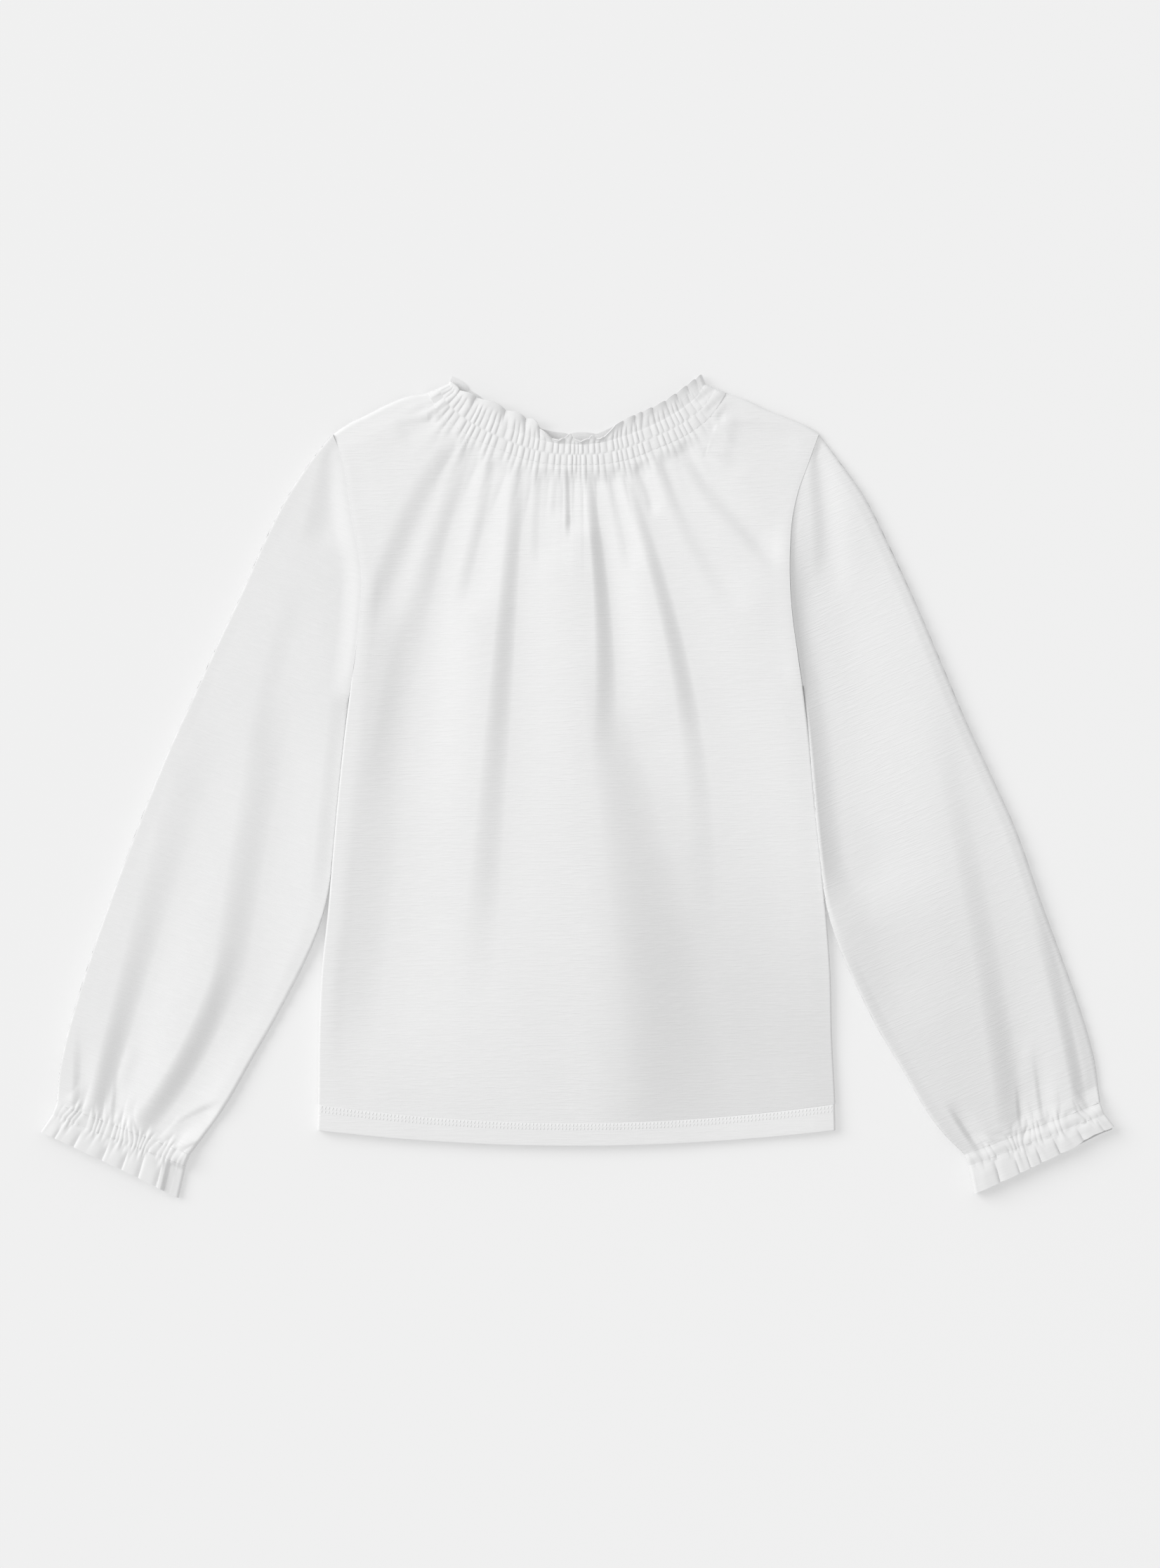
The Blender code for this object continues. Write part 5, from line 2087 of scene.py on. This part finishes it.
@dataclass(frozen=True)
class SleeveTube:
    """A full sleeve: one flattened tube from the armhole seam to the wrist's gathers.

    Fields that end in _at and _over are places along the table.  least_top is the lowest that
    its top comes down to, softly, over least_round.
    """

    plan: SleevePlan
    folds: tuple
    edge: EdgeShape
    floor: float = 2.3
    seam_dip: float = 0.16
    least_top: float = 1.7
    least_round: float = 1.2
    ripple_height: float = 0.16
    end_reach: float = 11.0
    shift_over: float = 5.0
    beside_at: float = 5.5
    beside_over: float = 1.2
    beside_rim: float = 0.85
    below_at: float = 7.0
    below_over: float = 1.4
    valley_fall: float = 20.0
    valley_rise: float = 75.0
    valley_flat: float = 14.0
    finer_at: float = 11.8
    cut: Cut = Cut(0.31, 0.44, 0.100, "gathered", ())

    def armhole_shift(self, share: Array, inner: Array, outer: Array, station: Array) -> Array:
        """Moves the first sections sideways onto the curved seam, fading down the arm.

        Args:
            share: Shares across, from the inner fold to the outer one.
            inner: The first section's inner end.
            outer: The first section's outer end.
            station: Places along the table of sections.

        Returns:
            How far each point moves across.
        """
        pattern = self.plan.pattern
        y = mix(pattern.underarm_y, pattern.shoulder_y, share)
        clear = mix(self.plan.sleeve_clear, SEAM, ease((y - pattern.underarm_y) / 30.0))
        straight = mix(inner, outer, share).real
        fade = np.clip(1.0 - station / self.shift_over, 0.0, 1.0) ** 2
        hand = self.plan.side.value
        return (hand * (pattern.side_x(y, self.plan.side) + clear) - straight) * fade

    def lips(self, at: Array) -> tuple[Lip, Lip]:
        """The inner and the outer edge at places along the table: they end as the wrist's.

        Args:
            at: Places along the table of sections.

        Returns:
            The inner edge's lip and the outer edge's.
        """
        below = ease((at - self.below_at) / self.below_over)
        wrist = ease((at - len(SLEEVE) + 2.0) / 1.0)
        inner = self.edge.beside.towards(self.edge.below, below)
        return (inner.towards(replace(WRIST_INNER, reach=self.end_reach), wrist),
                self.edge.outer.towards(replace(WRIST_OUTER, reach=self.end_reach), wrist))

    def build(self, wear: Wardrobe) -> bpy.types.Object:
        """Makes the sleeve.

        Args:
            wear: The pattern, its origin and the finishes.

        Returns:
            The new object.
        """
        last = len(SLEEVE) - 1.0
        at = np.concatenate([np.linspace(0.0, self.finer_at, 118),
                             np.linspace(self.finer_at, last, 40)[1:]])
        outer, inner, height = self.plan.edges(at)
        beside = 1.0 - ease((at - self.beside_at) / self.beside_over)
        tube = Tube(inner, outer, *self.lips(at),
                    inner_rim=mix(Tube.inner_rim, self.beside_rim, beside))
        share, is_top = tube.shares()
        place = tube.places(share)
        place = place + self.armhole_shift(share, inner[0], outer[0], at[None, :])
        y = place.imag
        outer, inner = self.plan.edges(np.linspace(0.0, last, 300))[:2]
        to_outer, to_inner, to_end, to_seam = [
            distance_to(place, curve) for curve in (outer, inner, place[:, -1], place[:, 0])]
        near_end = ease(to_end / self.end_reach)
        running = mix(self.plan.through, 1.0, near_end)
        top_z = self.floor + (height - self.floor) * mix(1.0, kept(place, self.folds), running)
        top_z = top_z + self.ripple_height * ripple(place) * near_end
        seam = self.seam_z(y) - self.seam_dip * np.exp(-(to_seam / SEAM_DIP_REACH) ** 2)
        top_z = mix(seam, top_z, ease(to_seam / self.edge.seam_reach))
        over = top_z - self.valley(y, np.minimum(to_seam, to_inner)) - self.least_top
        top_z = self.least_top + 0.5 * (over + np.sqrt(over ** 2 + self.least_round ** 2))
        top_z = top_z + self.plan.puckers(share, -to_end)
        inner_share, outer_share = tube.inner_lip.share, tube.outer_lip.share
        lips = (inner_share * mix(height, top_z, self.edge.inner_follow * running),
                mix(outer_share * height, self.edge.outer.share * top_z,
                    self.edge.follow * running))
        z = tube.height(top_z, to_inner, to_outer, lips, is_top)
        finish = wear.body if self.plan.side is Side.LEFT else wear.right_sleeve
        name = "sleeve_tube_" + self.plan.side.word
        return tube.cloth(place, z, is_top).build(name, finish, wear.origin)

    def valley(self, y: Array, off_body: Array) -> Array:
        """Depth of the trough beside the body: half a parabola down, and a slow rise past it.

        Args:
            y: Heights on the plan.
            off_body: Distances from the body.

        Returns:
            The depth at each place.
        """
        fall = 1.0 - (1.0 - np.clip(off_body / self.valley_fall, 0.0, 1.0)) ** 2
        back = ease((off_body - self.valley_flat) / self.valley_rise)
        along = ease((y + 92.0) / 50.0) * ease((180.0 - y) / 80.0)
        return self.edge.valley * fall * (1.0 - back) * along

    def seam_z(self, y: Array) -> Array:
        """Height of the sleeve at the armhole seam: the body's, less the drop at the underarm.

        Args:
            y: Heights on the plan.

        Returns:
            The height at each place.
        """
        pattern = self.plan.pattern
        lower = ease((pattern.shoulder_y - 2.0 - y) / 100.0)
        return pattern.ridge_z(y) - self.edge.drop * lower


@dataclass(frozen=True)
class WristBand:
    """The gathered cloth over the wrist's elastic row, in small puckers."""

    plan: SleevePlan
    folds: tuple
    heights: tuple
    floor: float = 2.3

    def height(self, tube: Tube, share: Array, reach: Array, is_top: Array) -> Array:
        """Height of the band: its casing puffs a little, and the sleeve's folds die out on it.

        Args:
            tube: The sections.
            share: Shares across, from the inner fold to the outer one.
            reach: Distances down the arm from the sleeve's end.
            is_top: Where the top cloth is.

        Returns:
            The height of the middle of the cloth.
        """
        base = smooth(np.linspace(0.0, self.plan.row_at, 3), np.array(self.heights), reach)
        running = self.plan.through * (1.0 - ease(reach / self.plan.row_at))
        left = mix(1.0, kept(tube.places(share), self.folds), running)
        top_z = self.floor + (base - self.floor) * left + self.plan.puckers(share, reach)
        return tube.wrist_height(top_z, base, share, is_top)

    def build(self, wear: Wardrobe) -> bpy.types.Object:
        """Makes the band.

        Args:
            wear: The pattern, its origin and the finishes.

        Returns:
            The new object.
        """
        reach = np.linspace(SEAM, self.plan.row_at, 14)
        tube = Tube(*self.plan.wrist(reach, reach))
        share, is_top = tube.shares()
        cloth = tube.cloth(tube.places(share), self.height(tube, share, reach, is_top), is_top)
        return cloth.build("wrist_band_" + self.plan.side.word, wear.shirred, wear.origin)

    def stitches(self, wear: Wardrobe) -> bpy.types.Object:
        """Makes the elastic row's stitches, one over each tuck on top.

        Args:
            wear: The pattern, its origin and the finishes.

        Returns:
            The new object.
        """
        tucks = self.plan.wrist_tucks
        share = ((np.arange(tucks) + 0.5) / tucks)[2:-2, None]
        reach = np.full(1, self.plan.row_at - 0.2)
        inner, outer = self.plan.wrist(reach, reach)
        z = self.height(Tube(inner, outer), share, reach, np.full(share.shape, True))
        centres = grid(mix(inner, outer, share), z + STITCH_LIFT).reshape(-1, 3)
        way = (outer - inner) / np.abs(outer - inner)
        ways = np.broadcast_to(grid(way, 0.0), centres.shape)
        row = Stitches("wrist_stitches_" + self.plan.side.word, length=1.3, radius=0.17)
        return row.build(centres, ways, wear.thread, wear.origin)


@dataclass(frozen=True)
class WristRuffle:
    """The ruffle below the wrist's elastic, in uneven lobes with creases between."""

    plan: SleevePlan
    lobes: tuple
    reaches: tuple
    heights: tuple
    flap: float
    flap_height: float = 4.6
    flare: float = 3.0
    scallop: float = 0.35
    flat: float = 7.0
    lobe_rise: float = 0.5
    least_top: float = 1.6
    columns: int = 22
    cut: Cut = Cut(0.23, 0.0180, 0.0040, "gathered", ())

    def build(self, wear: Wardrobe) -> bpy.types.Object:
        """Makes the ruffle.

        Args:
            wear: The pattern, its origin and the finishes.

        Returns:
            The new object.
        """
        t = np.linspace(0.0, 1.0, self.columns)
        inner_reach, outer_reach = [mix(self.plan.row_at + SEAM, end, t) for end in self.reaches]
        tube = Tube(*self.plan.wrist(inner_reach, outer_reach, self.flare * t))
        inner, outer = tube.inner, tube.outer
        share, is_top = tube.shares()
        hump, rise, reach, lean = lobe_field(share, self.lobes, self.flat)
        shorter = np.where(is_top, 1.0 - reach, 0.02 * (1.0 + np.sin(23.0 * share)))
        to_edge = np.minimum(share, 1.0 - share) * tube.length()
        drop = (outer[-1] + inner[-1] - outer[0] - inner[0]) / 2
        notch = self.scallop * (1.0 - hump) * ease(to_edge / 4.0)
        cut_back = shorter + notch / abs(drop) * is_top
        way = (outer[-1] - inner[-1]) / tube.length()[-1]
        slide = lean * t * t * hump * is_top
        place = tube.places(share) - drop * cut_back * t + way * slide
        base = mix(*self.heights, ease(t / 0.5))
        flap = ease((share - self.flap) / 0.035) if self.flap > 0.0 else 1.0
        base = mix(mix(base, self.flap_height, ease(t / 0.15)), base, flap)
        small = self.plan.puckers(share, mix(inner_reach, outer_reach, share)) * (1.0 - 0.6 * t)
        lobe = self.lobe_rise * rise * (hump - 0.75) * ease(t / 0.8)
        top_z = np.maximum(base + small + lobe, self.least_top)
        under = 0.5 * (1.0 - np.cos(40.0 * share)) * t * ease(to_edge / 5.0)
        z = tube.wrist_height(top_z, base, share, is_top) + np.where(is_top, 0.0, under)
        name = "wrist_ruffle_" + self.plan.side.word
        return tube.cloth(place, z, is_top).build(name, wear.shirred, wear.origin)


# ---------------------------------------------------------------- studio
@dataclass(frozen=True)
class Studio:
    """A pale floor, an even sky and one soft key light, seen from straight above."""

    centre_x: float = 1.2
    centre_y: float = 1.2
    view_height: float = 1004.9
    lens: float = 85.0
    sensor: float = 36.0
    sky: float = 0.62
    key: float = 0.38
    key_elevation: float = 38.0
    key_azimuth: float = 152.0
    key_distance: float = 6.5
    key_size: float = 5.05
    floor_level: float = -0.1
    floor_half: float = 3000.0

    def camera(self) -> None:
        """Places the camera over the garment."""
        data = bpy.data.cameras.new("overhead")
        data.lens = self.lens
        data.sensor_width = self.sensor
        data.dof.use_dof = False
        data.clip_end = 20.0
        seat = put("overhead", data)
        distance = self.view_height * self.lens / self.sensor
        seat.location = (self.centre_x * MM, self.centre_y * MM, distance * MM)
        bpy.context.scene.camera = seat

    def lights(self) -> None:
        """Sets the sky, and the key light from the upper left."""
        world = bpy.data.worlds.new("studio")
        world.use_nodes = True
        sky = world.node_tree.nodes["Background"]
        sky.inputs["Color"].default_value = (self.sky, self.sky, self.sky, 1.0)
        sky.inputs["Strength"].default_value = 1.0
        bpy.context.scene.world = world
        data = bpy.data.lights.new("key", "AREA")
        rise = np.radians(self.key_elevation)
        turn = np.radians(self.key_azimuth)
        data.shape = "DISK"
        data.size = self.key_size
        data.energy = self.key * np.pi ** 2 * self.key_distance ** 2 / np.sin(rise)
        lamp = put("key", data)
        level = self.key_distance * np.cos(rise)
        lamp.location = (level * np.cos(turn), level * np.sin(turn),
                         self.key_distance * np.sin(rise))
        lamp.rotation_euler = (0.0, np.pi / 2 - rise, turn)

    def floor(self, finish: bpy.types.Material) -> None:
        """Lays the floor.

        Args:
            finish: Its material.
        """
        half = self.floor_half * MM
        low = self.floor_level * MM
        mesh = bpy.data.meshes.new("backdrop")
        corners = [(-half, -half, low), (half, -half, low), (half, half, low), (-half, half, low)]
        mesh.from_pydata(corners, [], [(0, 1, 2, 3)])
        mesh.materials.append(finish)
        put("backdrop", mesh)

    def build(self) -> None:
        """Sets up the whole studio and the plain view of its colours."""
        self.camera()
        self.lights()
        self.floor(Backdrop().material(self))
        bpy.context.scene.view_settings.view_transform = "Standard"
        bpy.context.scene.view_settings.look = "None"


# ---------------------------------------------------------------- the top
def make_body(wear: Wardrobe) -> None:
    """Makes the front and back panels and their hems.

    Args:
        wear: The pattern, its origin and the finishes.
    """
    front = FrontPanel()
    front_hem = Hem("hem_band")
    back_hem = Hem("hem_band_rear")
    panel = front.build(wear)
    hem = front_hem.build(wear, front)
    stitches = front_hem.stitches(wear, front)
    dress(hem, "hem_front")
    dress(panel, "front", front.cut)
    back = BackPanel()
    rear = back.build(wear)
    rear_hem = back_hem.build(wear, None)
    dress(rear_hem, "hem_back")
    dress(rear, "back", back.cut)


def make_neck(wear: Wardrobe) -> None:
    """Makes the shirred bands and the ruffles of the neck.

    Args:
        wear: The pattern, its origin and the finishes.
    """
    band = NeckShirring()
    stitches = band.stitches(wear)
    dress(band.front(wear), "neck_shirring_front", band.front_cut)
    dress(band.back(wear), "neck_shirring_back", band.back_cut)
    ruffle = NeckRuffle()
    dress(ruffle.front(wear), "neck_ruffle_front", ruffle.front_cut)
    dress(ruffle.back(wear), "neck_ruffle_back", ruffle.back_cut)


def make_sleeve(wear: Wardrobe, side: Side) -> None:
    """Makes a sleeve with its wrist band and ruffle.

    Args:
        wear: The pattern, its origin and the finishes.
        side: Which one.
    """
    look = LOOKS[side]
    plan = SleevePlan(wear.pattern, side, look.tucks, look.calm)
    sleeve = SleeveTube(plan, look.folds, look.edge)
    band = WristBand(plan, look.folds, look.band)
    gathered = band.build(wear)
    dress(gathered, "cuff_elastic_" + side.word)
    extras = (gathered, band.stitches(wear))
    dress(sleeve.build(wear), "sleeve_" + side.word, sleeve.cut)
    ruffle = WristRuffle(plan, look.lobes, look.reaches, look.ruffle, look.flap)
    dress(ruffle.build(wear), "cuff_ruffle_" + side.word, ruffle.cut)


def main() -> None:
    """Builds the studio and every piece of the top."""
    logging.basicConfig(level=logging.INFO, format="%(name)s: %(message)s")
    Studio().build()
    pattern = Pattern()
    # the front's and the right sleeve's jersey carry painted shade, softly darker towards the
    # garment's lower right
    wear = Wardrobe(pattern, pattern.origin(), Jersey("slub_jersey", tone=0.848).material(),
                    Jersey("front_jersey_painted_shade", tone=0.856, painted_shade=0.09).material(),
                    Jersey("sleeve_jersey", tone=0.848, painted_shade=0.045, painted_shade_lean=0.0).material(),
                    Jersey("shirred_jersey", tone=0.84, slub=0.4, stretch=0.8).material(),
                    Jersey("hem_jersey", tone=0.87, slub=0.8).material(), Thread().material())
    make_body(wear)
    make_neck(wear)
    for side in Side:
        make_sleeve(wear, side)


if __name__ == "__main__":
    main()
